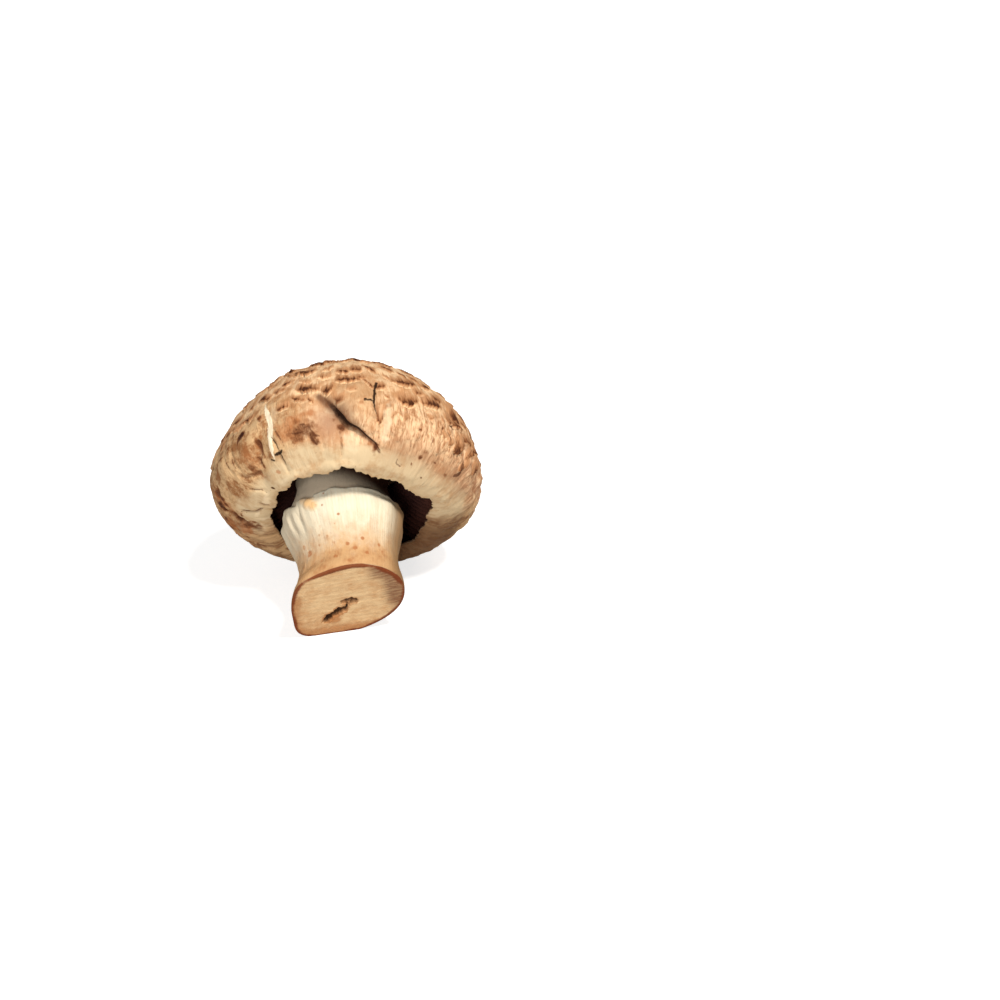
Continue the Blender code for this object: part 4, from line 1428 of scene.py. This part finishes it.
def tone(red, green, blue):
    """A colour as a painter reads it off a screen, 0 to 255, turned to linear light."""
    scaled = np.array((red, green, blue)) / 255.0
    return (*np.where(scaled <= 0.04045, scaled / 12.92, ((scaled + 0.055) / 1.055) ** 2.4), 1.0)


def new_group(name, inputs, outputs):
    """An empty node group with those sockets, and its input and output nodes."""
    tree = bpy.data.node_groups.new(name, "ShaderNodeTree")
    for label, kind, value in inputs:
        socket = tree.interface.new_socket(label, in_out="INPUT", socket_type="NodeSocket" + kind)
        if value is not None:
            socket.default_value = value
    for label, kind in outputs:
        tree.interface.new_socket(label, in_out="OUTPUT", socket_type="NodeSocket" + kind)
    return tree, tree.nodes.new("NodeGroupInput").outputs, tree.nodes.new("NodeGroupOutput").inputs


def use_group(tree, group, **values):
    """Places a group and feeds its inputs: an underscore in a keyword stands for a space."""
    made = tree.nodes.new("ShaderNodeGroup")
    made.node_tree = group
    for key, value in values.items():
        feed(tree, made.inputs[key.replace("_", " ")], value)
    return made.outputs[0]


# %% [markdown]
# ## Shared effects
#
# Four effects come back in every organ. Fibres are noise drawn out along the way the flesh grew. Mottle is
# soft, uneven colour. Freckles are small spots of which only some show. Frayed takes a soft mask and gives
# it the ragged edge of a real stain. A stroke draws one fine line between two points of the skin.

# %% Groups: fibres and mottle


def make_fibres():
    """Noise on the grain coordinate, squeezed Across times round and Along times lengthwise, per mm."""
    tree, given, out = new_group(
        "fibres",
        (("Grain", "Vector", None), ("Across", "Float", 2.5), ("Along", "Float", 0.4), ("Detail", "Float", 3.0)),
        (("Value", "Float"),),
    )
    squeeze = tree.nodes.new("ShaderNodeCombineXYZ")
    tree.links.new(given["Across"], squeeze.inputs["X"])
    tree.links.new(given["Across"], squeeze.inputs["Y"])
    tree.links.new(given["Along"], squeeze.inputs["Z"])
    place = vector_node(tree, "MULTIPLY", given["Grain"], squeeze.outputs[0])
    feed(tree, out["Value"], noise(tree, place, 1.0, given["Detail"], 0.6))
    return tree


def make_mottle():
    """Two noises, one of patches and one three times finer, mixed and stretched round 0.5 by Contrast."""
    tree, given, out = new_group(
        "mottle",
        (("Grain", "Vector", None), ("Per mm", "Float", 0.25), ("Contrast", "Float", 2.0)),
        (("Value", "Float"),),
    )
    coarse = noise(tree, given["Grain"], given["Per mm"], 4.0, 0.55)
    finer = noise(tree, given["Grain"], sum_node(tree, "MULTIPLY", given["Per mm"], 3.1), 3.0, 0.6)
    both = sum_node(tree, "ADD", sum_node(tree, "MULTIPLY", coarse, 0.65), sum_node(tree, "MULTIPLY", finer, 0.35))
    centred = sum_node(tree, "MULTIPLY", sum_node(tree, "SUBTRACT", both, 0.5), given["Contrast"])
    feed(tree, out["Value"], sum_node(tree, "ADD", centred, 0.5, clamp=True))
    return tree


fibres, mottle = make_fibres(), make_mottle()

# %% Groups: freckles, frayed and stroke


def make_freckles():
    """Voronoi cells: a spot at a cell's middle where the cell's random number is under Share."""
    tree, given, out = new_group(
        "freckles",
        (("Grain", "Vector", None), ("Per mm", "Float", 0.5), ("Size", "Float", 0.3), ("Share", "Float", 0.3)),
        (("Mask", "Float"),),
    )
    shaken = vector_node(tree, "ADD", given["Grain"], vector_node(tree, "SCALE", given["Grain"], 0.03))
    cells = tree.nodes.new("ShaderNodeTexVoronoi")
    tree.links.new(shaken, cells.inputs["Vector"])
    tree.links.new(given["Per mm"], cells.inputs["Scale"])
    ragged = sum_node(tree, "MULTIPLY_ADD", noise(tree, given["Grain"], 2.6, 2.0), 0.3, cells.outputs["Distance"])
    spot = ramp(tree, sum_node(tree, "SUBTRACT", ragged, 0.15), given["Size"], 0.0)
    split = tree.nodes.new("ShaderNodeSeparateColor")
    tree.links.new(cells.outputs["Color"], split.inputs[0])
    chosen = sum_node(tree, "LESS_THAN", split.outputs[0], given["Share"])
    feed(tree, out["Mask"], sum_node(tree, "MULTIPLY", spot, chosen))
    return tree


def make_frayed():
    """A soft mask plus noise, cut to a step: Level + (noise - 0.5) * Fray, from Low to High."""
    tree, given, out = new_group(
        "frayed",
        (
            ("Level", "Float", 0.0),
            ("Grain", "Vector", None),
            ("Per mm", "Float", 1.2),
            ("Fray", "Float", 0.8),
            ("Low", "Float", 0.35),
            ("High", "Float", 0.65),
        ),
        (("Mask", "Float"),),
    )
    rough = sum_node(tree, "SUBTRACT", noise(tree, given["Grain"], given["Per mm"], 4.0, 0.65), 0.5)
    level = sum_node(tree, "MULTIPLY_ADD", rough, given["Fray"], given["Level"])
    shown = ramp(tree, level, given["Low"], given["High"])
    feed(tree, out["Mask"], sum_node(tree, "MULTIPLY", shown, ramp(tree, given["Level"], 0.02, 0.2)))
    return tree


def make_stroke():
    """Distance from the skin's place to the line Start to End, against a half width that goes from First to Last."""
    tree, given, out = new_group(
        "stroke",
        (
            ("Place", "Vector", None),
            ("Start", "Vector", None),
            ("End", "Vector", None),
            ("First", "Float", 0.2),
            ("Last", "Float", 0.1),
            ("Soft", "Float", 0.12),
        ),
        (("Mask", "Float"),),
    )
    from_start = vector_node(tree, "SUBTRACT", given["Place"], given["Start"])
    line = vector_node(tree, "SUBTRACT", given["End"], given["Start"])
    dot, size = vector_node(tree, "DOT_PRODUCT", from_start, line), vector_node(tree, "DOT_PRODUCT", line, line)
    along = sum_node(tree, "DIVIDE", dot, size, clamp=True)
    across = vector_node(tree, "SUBTRACT", from_start, vector_node(tree, "SCALE", line, along))
    widen = sum_node(tree, "SUBTRACT", given["Last"], given["First"])
    half = sum_node(tree, "MULTIPLY_ADD", along, widen, given["First"])
    over = sum_node(tree, "SUBTRACT", vector_node(tree, "LENGTH", across), half)
    feed(tree, out["Mask"], ramp(tree, over, given["Soft"], sum_node(tree, "MULTIPLY", given["Soft"], -1.0)))
    return tree


freckles, frayed, stroke = make_freckles(), make_frayed(), make_stroke()
print("groups:", ", ".join(sorted(group.name for group in bpy.data.node_groups)))

# %% Strokes on the cap
# Each: pixels, with the half width in mm at each
SCAR = (
    ((263.5, 404, 0.05), (266, 410, 0.35), (268, 420, 0.62), (269, 430, 0.55), (270, 436, 0.30)),
    ((267, 428, 0.2), (268.5, 438, 0.45), (271, 448, 0.5), (273, 455, 0.3), (275, 459, 0.05)),
)
DARK_STROKES = (
    ((275, 456, 0.22), (279, 453.5, 0.36), (281, 451, 0.2)),
    ((280, 455, 0.12), (283, 460, 0.15), (286, 465, 0.05)),
    ((271, 460, 0.16), (274, 460, 0.20)),
    ((270, 437, 0.03), (274, 443, 0.14), (278, 450, 0.10)),
    ((376, 384.5, 0.24), (375.5, 387.5, 0.36), (374, 391, 0.20), (373, 401, 0.30)),
    ((373, 402, 0.12), (369, 403.5, 0.14), (365, 403, 0.18)),
    ((373, 401, 0.24), (374.5, 408, 0.12), (377, 414, 0.03)),
)


def union_of_strokes(tree, place, paths):
    """The strongest of all the strokes' masks: one stroke group for each stretch of each path."""
    found = None
    for path in map(on_cap, paths):
        for (phi_a, t_a, first), (phi_b, t_b, last) in zip(path[:-1], path[1:]):
            start = (phi_a * WIDE, float(along_section(t_a)), 0.0)
            end = (phi_b * WIDE, float(along_section(t_b)), 0.0)
            mask = use_group(tree, stroke, Place=place, Start=start, End=end, First=first, Last=last)
            found = mask if found is None else sum_node(tree, "MAXIMUM", found, mask)
    return found


# %% [markdown]
# ## The cap's material
#
# The skin is matt and never one colour. The layers go on as they do in life: warm flesh, patches, the shaggy
# band's pinkish tan, cream towards the margin, then brown scales whose tips fray into hairs, rust, bruises,
# and last the scar and the dark lines. Among them go painted shade, on the lower sides, under the rim on
# the right, on the margin's right, in the creases and along the fold, and painted highlights, on the bulges
# and in the gaps behind the scales' tips. Roughness and a fine bump follow the fibres.

# %% Cap material
# The low, under-rim and right-margin tones are painted shade; the pale tone is a painted highlight, the gap cream
# partly one.
FLESH_LIGHT, FLESH_WARM = tone(242, 204, 160), tone(202, 148, 102)
SHAG_LIGHT, SHAG_DARK = tone(250, 208, 164), tone(164, 104, 64)
LEFT_LIGHT, LEFT_DARK = tone(206, 168, 122), tone(150, 100, 60)
LOW_SHADE_LIGHT, LOW_SHADE_DARK = tone(198, 156, 110), tone(134, 88, 52)
MARGIN_LIGHT, MARGIN_WARM = tone(218, 192, 152), tone(196, 158, 116)
PINK_FLESH, LIP_TONE = tone(180, 138, 108), tone(192, 146, 102)
RIGHT_MARGIN_SHADE, HIGHLIGHT_TONE = tone(178, 132, 96), tone(240, 216, 178)
EDGE_TAN, UNDER_SHADE = tone(154, 94, 62), tone(104, 70, 44)
GAP_CREAM_AND_HIGHLIGHT = tone(244, 208, 162)
SCALE_PALE, SCALE_BROWN, SCALE_DARK = tone(200, 146, 102), tone(148, 94, 56), tone(74, 38, 22)
RUST_TONE, BRUISE_TONE, BRUISE_DARK = tone(178, 110, 64), tone(130, 78, 44), tone(60, 28, 16)
SCAR_TONE, LINE_DARK, LINE_BROWN = tone(248, 230, 198), tone(28, 12, 6), tone(88, 48, 28)
INNER_FLESH = tone(120, 92, 70)


def matt_material(name):
    """A new material, its node tree, its Principled shader and the surface's grain coordinate."""
    made = bpy.data.materials.new(name)
    made.use_nodes = True
    tree = made.node_tree
    shader = tree.nodes["Principled BSDF"]
    shader.inputs["Metallic"].default_value = 0.0
    shader.inputs["Specular IOR Level"].default_value = 0.08
    return made, tree, shader, attribute(tree, "grain", "Vector")


def bump(tree, shader, height, distance, strength=1.0):
    """Fine relief: a Bump node over the height, which is worth distance metres, into the shader's normal."""
    made = tree.nodes.new("ShaderNodeBump")
    feed(tree, made.inputs["Height"], height)
    made.inputs["Distance"].default_value = distance
    made.inputs["Strength"].default_value = strength
    tree.links.new(made.outputs[0], shader.inputs["Normal"])


def waved_place(tree, grain, waver):
    """The skin's UV place in mm, shaken a little so that drawn lines look torn."""
    uv = tree.nodes.new("ShaderNodeUVMap")
    uv.uv_map = "skin_mm"
    shake = tree.nodes.new("ShaderNodeTexNoise")
    feed(tree, shake.inputs["Vector"], grain)
    feed(tree, shake.inputs["Scale"], 1.4)
    centred = vector_node(tree, "SUBTRACT", shake.outputs["Color"], (0.5, 0.5, 0.5))
    flat = vector_node(tree, "MULTIPLY", centred, (waver, waver, 0.0))
    return vector_node(tree, "ADD", uv.outputs[0], flat)


def times(tree, a, b):
    """One mask weakened by another or by a number."""
    return sum_node(tree, "MULTIPLY", a, b)


def cap_material():
    """Layers of colour over the cap, each where its mask and a noise say."""
    made, tree, shader, grain = matt_material("cap_skin_finish")
    hair = use_group(tree, fibres, Grain=grain, Across=1.7, Along=0.30, Detail=3.0)
    fine_hair = use_group(tree, fibres, Grain=grain, Across=4.5, Along=0.8, Detail=2.0)
    patch = use_group(tree, mottle, Grain=grain, Per_mm=0.22, Contrast=3.2)
    small = use_group(tree, mottle, Grain=grain, Per_mm=0.9, Contrast=2.6)
    crumb = noise(tree, grain, 3.2, 3.0, 0.6)
    shag, level = attribute(tree, "shag"), attribute(tree, "scale")

    colour = paint(tree, FLESH_LIGHT, FLESH_WARM, ramp(tree, sum_node(tree, "ADD", patch, hair), 0.6, 1.4))
    left_mix = ramp(tree, sum_node(tree, "ADD", patch, small), 0.75, 1.45)
    colour = paint(tree, colour, paint(tree, LEFT_LIGHT, LEFT_DARK, left_mix), times(tree, attribute(tree, "left"), 0.9))
    shag_mix = ramp(tree, sum_node(tree, "ADD", hair, fine_hair), 0.85, 1.2)
    colour = paint(tree, colour, paint(tree, SHAG_LIGHT, SHAG_DARK, shag_mix), times(tree, shag, 0.7))
    shag_tips = ramp(tree, sum_node(tree, "MULTIPLY_ADD", fine_hair, 0.5, attribute(tree, "shag_tip")), 0.7, 1.25)
    colour = paint(tree, colour, SHAG_DARK, times(tree, shag_tips, 0.65))
    colour = paint(tree, colour, PINK_FLESH, times(tree, attribute(tree, "pink"), 0.85))
    colour = paint(tree, colour, LIP_TONE, times(tree, attribute(tree, "fold_lip"), 0.8))
    colour = paint(tree, colour, EDGE_TAN, times(tree, attribute(tree, "edge"), ramp(tree, hair, 0.3, 0.7, 0.25, 0.8)))
    margin = use_group(
        tree, frayed, Level=attribute(tree, "margin"), Grain=grain, Per_mm=0.8, Fray=0.5, Low=0.2, High=0.8
    )
    margin_mix = ramp(tree, sum_node(tree, "MULTIPLY_ADD", hair, 0.4, patch), 0.5, 1.3)
    colour = paint(tree, colour, paint(tree, MARGIN_LIGHT, MARGIN_WARM, margin_mix), margin)
    # Painted shade on the margin's right.
    colour = paint(tree, colour, RIGHT_MARGIN_SHADE, times(tree, attribute(tree, "right_margin_shade"), ramp(tree, hair, 0.3, 0.7, 0.5, 0.9)))
    # Painted shade: the lower sides darker, in frayed patches.
    low = use_group(tree, frayed, Level=attribute(tree, "low"), Grain=grain, Per_mm=0.35, Fray=0.9, Low=0.2, High=0.9)
    low_mix = ramp(tree, sum_node(tree, "ADD", patch, hair), 0.7, 1.3)
    colour = paint(tree, colour, paint(tree, LOW_SHADE_LIGHT, LOW_SHADE_DARK, low_mix), times(tree, low, 0.85))

    # Painted shade under the rim on the right.
    colour = paint(tree, colour, UNDER_SHADE, times(tree, attribute(tree, "under"), 0.85))

    # Cream behind the tips of scales and tongues: pale flesh, brightened further as a painted highlight.
    colour = paint(tree, colour, GAP_CREAM_AND_HIGHLIGHT, times(tree, attribute(tree, "gap"), 0.75))
    fray = times(tree, sum_node(tree, "SUBTRACT", hair, 0.5), 1.2)
    scale_level = sum_node(tree, "ADD", level, times(tree, fray, ramp(tree, level, 0.05, 0.3)))
    colour = paint(tree, colour, SCALE_PALE, ramp(tree, scale_level, 0.08, 0.45, 0.0, 0.9))
    colour = paint(tree, colour, SCALE_BROWN, ramp(tree, scale_level, 0.42, 0.85, 0.0, 0.9))
    colour = paint(tree, colour, SCALE_DARK, ramp(tree, scale_level, 0.74, 1.02, 0.0, 0.95))

    # Painted highlights on the bulges and the fold's lip.
    pale = use_group(tree, frayed, Level=attribute(tree, "pale"), Grain=grain, Per_mm=0.9, Fray=0.6, Low=0.1, High=1.1)
    colour = paint(tree, colour, HIGHLIGHT_TONE, times(tree, pale, 0.8))
    rust = use_group(tree, frayed, Level=attribute(tree, "rust"), Grain=grain, Per_mm=1.1, Fray=0.9, Low=0.2, High=0.9)
    colour = paint(tree, colour, RUST_TONE, times(tree, rust, 0.65))
    bruise = sum_node(tree, "MULTIPLY_ADD", sum_node(tree, "SUBTRACT", crumb, 0.5), 0.5, attribute(tree, "bruise"))
    soft = use_group(tree, frayed, Level=bruise, Grain=grain, Per_mm=1.3, Fray=0.9, Low=0.15, High=1.0)
    deep = use_group(tree, frayed, Level=bruise, Grain=grain, Per_mm=2.1, Fray=0.8, Low=0.6, High=1.35)
    colour = paint(tree, colour, BRUISE_TONE, times(tree, soft, 0.9))
    colour = paint(tree, colour, BRUISE_DARK, times(tree, deep, 1.0))
    place = waved_place(tree, grain, 0.55)
    colour = paint(tree, colour, SCAR_TONE, union_of_strokes(tree, place, SCAR))
    # Painted shade: the creases darkened in proportion to their depth.
    colour = paint(tree, colour, LINE_BROWN, times(tree, ramp(tree, attribute(tree, "crease"), 0.15, 0.9), 0.7))
    # The fold's brown, partly painted shade under its lip.
    colour = paint(tree, colour, LINE_BROWN, times(tree, ramp(tree, attribute(tree, "fold_brown_and_shade"), 0.0, 1.0), 0.8))
    # Painted shade: near black along the fold's crease.
    uneven = sum_node(tree, "SUBTRACT", crumb, 0.5)
    crease_shade = sum_node(tree, "MULTIPLY_ADD", uneven, 0.7, attribute(tree, "fold_crease_shade"))
    colour = paint(tree, colour, LINE_DARK, ramp(tree, crease_shade, 0.3, 0.95, 0.0, 0.92))
    # Brown lines, partly painted shade along the creases.
    torn = sum_node(tree, "MULTIPLY_ADD", uneven, 0.35, attribute(tree, "brown_line"))
    colour = paint(tree, colour, LINE_BROWN, ramp(tree, torn, 0.12, -0.12, 0.0, 0.8))
    dark_lines = union_of_strokes(tree, place, DARK_STROKES)
    colour = paint(tree, colour, LINE_DARK, times(tree, dark_lines, 0.95))
    dots = use_group(tree, freckles, Grain=grain, Per_mm=0.55, Size=0.15, Share=0.3)
    colour = paint(tree, colour, BRUISE_TONE, times(tree, dots, 0.6))
    colour = paint(tree, colour, INNER_FLESH, attribute(tree, "inside"))
    feed(tree, shader.inputs["Base Color"], colour)
    feed(tree, shader.inputs["Roughness"], ramp(tree, small, 0.2, 0.9, 0.62, 0.85))
    relief = sum_node(tree, "ADD", times(tree, hair, 0.6), times(tree, fine_hair, 0.4))
    weight = ramp(tree, margin, 0.0, 1.0, 1.0, 0.4)
    bump(tree, shader, times(tree, relief, weight), 0.00035)
    return made


cap.data.materials.append(cap_material())

# %% [markdown]
# ## Gill and stem materials
#
# Ripe gills are chocolate brown with black-brown depths. The stem is the palest part: ivory on the sleeve,
# pinkish tan and freckled towards the foot, rust brown where the knife's edge dried, and cream with faint
# streaks on the cut. Painted shade greys the sleeve's pleated left side, darkens the stem's right side and the
# neck towards its top, and deepens the slits.

# %% Gill material


def gill_material():
    """Dark brown, darker in the depths, with fine streaks along each blade."""
    made, tree, shader, grain = matt_material("gill_finish")
    streak = use_group(tree, mottle, Grain=grain, Per_mm=1.2, Contrast=2.5)
    colour = paint(tree, tone(66, 36, 30), tone(38, 20, 18), streak)
    edge = ramp(tree, attribute(tree, "depth"), 0.7, 1.0)
    colour = paint(tree, colour, tone(92, 54, 42), sum_node(tree, "MULTIPLY", edge, 0.6))
    feed(tree, shader.inputs["Base Color"], colour)
    feed(tree, shader.inputs["Roughness"], ramp(tree, streak, 0.2, 0.9, 0.7, 0.9))
    bump(tree, shader, streak, 0.0002)
    return made


gills.data.materials.append(gill_material())

# %% Stem material
# The sleeve's grey and the stem's shade are painted shade, and the slits' dark is partly painted shade.
IVORY, IVORY_WARM = tone(236, 226, 200), tone(226, 206, 172)
SLEEVE_SHADE_GREY, STEM_SHADE = tone(206, 192, 166), tone(150, 114, 76)
SHANK_TONE, SHANK_PINK = tone(208, 164, 116), tone(180, 126, 82)
NECK_GREY, NECK_DARK = tone(255, 232, 198), tone(64, 38, 24)
FACE_LIGHT, FACE_WARM = tone(232, 196, 148), tone(208, 160, 112)
RIM_BROWN, FRECKLE_TONE, PURPLE_TONE = tone(122, 58, 28), tone(176, 112, 68), tone(120, 74, 50)
SLIT_PITH_AND_SHADE, FACE_TAN = tone(44, 26, 16), tone(182, 122, 74)
BLISTER_TONE = tone(230, 178, 112)



def stem_material():
    """Ivory above, pink and freckled below, with a brown cut rim and a streaked face."""
    made, tree, shader, grain = matt_material("stem_finish")
    hair = use_group(tree, fibres, Grain=grain, Across=2.4, Along=0.18, Detail=3.0)
    patch = use_group(tree, mottle, Grain=grain, Per_mm=0.35, Contrast=2.6)
    small = use_group(tree, mottle, Grain=grain, Per_mm=1.3, Contrast=2.4)
    colour = paint(tree, IVORY, IVORY_WARM, ramp(tree, hair, 0.3, 0.8, 0.0, 0.7))
    # Painted shade: the pleated left side of the sleeve greyer.
    colour = paint(tree, colour, SLEEVE_SHADE_GREY, sum_node(tree, "MULTIPLY", attribute(tree, "left"), 0.8))
    low = use_group(tree, frayed, Level=attribute(tree, "down"), Grain=grain, Per_mm=0.5, Fray=0.5, Low=0.2, High=0.85)
    shank_tone = paint(tree, SHANK_TONE, SHANK_PINK, ramp(tree, sum_node(tree, "MULTIPLY_ADD", hair, 0.4, patch), 0.5, 1.3))
    colour = paint(tree, colour, shank_tone, low)
    # Painted shade: the stem's right side darker.
    colour = paint(tree, colour, STEM_SHADE, sum_node(tree, "MULTIPLY", attribute(tree, "right"), 0.95))
    colour = paint(tree, colour, BLISTER_TONE, sum_node(tree, "MULTIPLY", attribute(tree, "blister"), 0.75))
    spots = use_group(tree, freckles, Grain=grain, Per_mm=0.55, Size=0.26, Share=0.34)
    shown = sum_node(tree, "MULTIPLY", spots, ramp(tree, attribute(tree, "down"), 0.15, 0.5))
    colour = paint(tree, colour, FRECKLE_TONE, sum_node(tree, "MULTIPLY", shown, 0.65))
    seen = use_group(tree, frayed, Level=attribute(tree, "spots"), Grain=grain, Per_mm=1.5, Fray=1.2, Low=0.25, High=0.85)
    colour = paint(tree, colour, FRECKLE_TONE, sum_node(tree, "MULTIPLY", seen, 0.85))
    neck_tone = paint(tree, NECK_GREY, NECK_DARK, attribute(tree, "neck_shade"))
    colour = paint(tree, colour, neck_tone, attribute(tree, "neck"))
    face = attribute(tree, "face")
    stretched = vector_node(tree, "MULTIPLY", grain, (0.35, 2.6, 1.0))
    streak = noise(tree, stretched, 1.0, 3.0, 0.6)
    face_tone = paint(tree, FACE_LIGHT, FACE_WARM, ramp(tree, sum_node(tree, "ADD", streak, patch), 0.6, 1.7))
    colour = paint(tree, colour, face_tone, face)
    tan = use_group(tree, frayed, Level=attribute(tree, "tan"), Grain=grain, Per_mm=0.9, Fray=0.9, Low=0.25, High=1.0)
    colour = paint(tree, colour, FACE_TAN, sum_node(tree, "MULTIPLY", tan, 0.8))
    purple = use_group(tree, frayed, Level=attribute(tree, "purple"), Grain=stretched, Per_mm=0.9, Fray=0.6, Low=0.15, High=1.0)
    colour = paint(tree, colour, PURPLE_TONE, sum_node(tree, "MULTIPLY", purple, ramp(tree, streak, 0.3, 0.7, 0.6, 0.9)))
    rim = use_group(tree, frayed, Level=attribute(tree, "cut_rim"), Grain=grain, Per_mm=0.9, Fray=0.6, Low=0.2, High=0.75)
    colour = paint(tree, colour, RIM_BROWN, sum_node(tree, "MULTIPLY", rim, 0.95))
    halo = use_group(tree, frayed, Level=attribute(tree, "halo"), Grain=grain, Per_mm=1.6, Fray=0.9, Low=0.2, High=1.0)
    colour = paint(tree, colour, FACE_TAN, sum_node(tree, "MULTIPLY", halo, 0.8))
    # The slits dark: their dried pith's brown, and painted shade of their depth.
    slit_shade_mask = use_group(
        tree, frayed, Level=attribute(tree, "slit"), Grain=grain, Per_mm=2.4, Fray=0.5, Low=0.15, High=0.75
    )
    colour = paint(tree, colour, SLIT_PITH_AND_SHADE, sum_node(tree, "MULTIPLY", slit_shade_mask, 0.92))
    feed(tree, shader.inputs["Base Color"], colour)
    feed(tree, shader.inputs["Roughness"], ramp(tree, small, 0.2, 0.9, 0.58, 0.8))
    bump(tree, shader, sum_node(tree, "ADD", hair, sum_node(tree, "MULTIPLY", small, 0.4)), 0.00014)
    return made


stem.data.materials.append(stem_material())
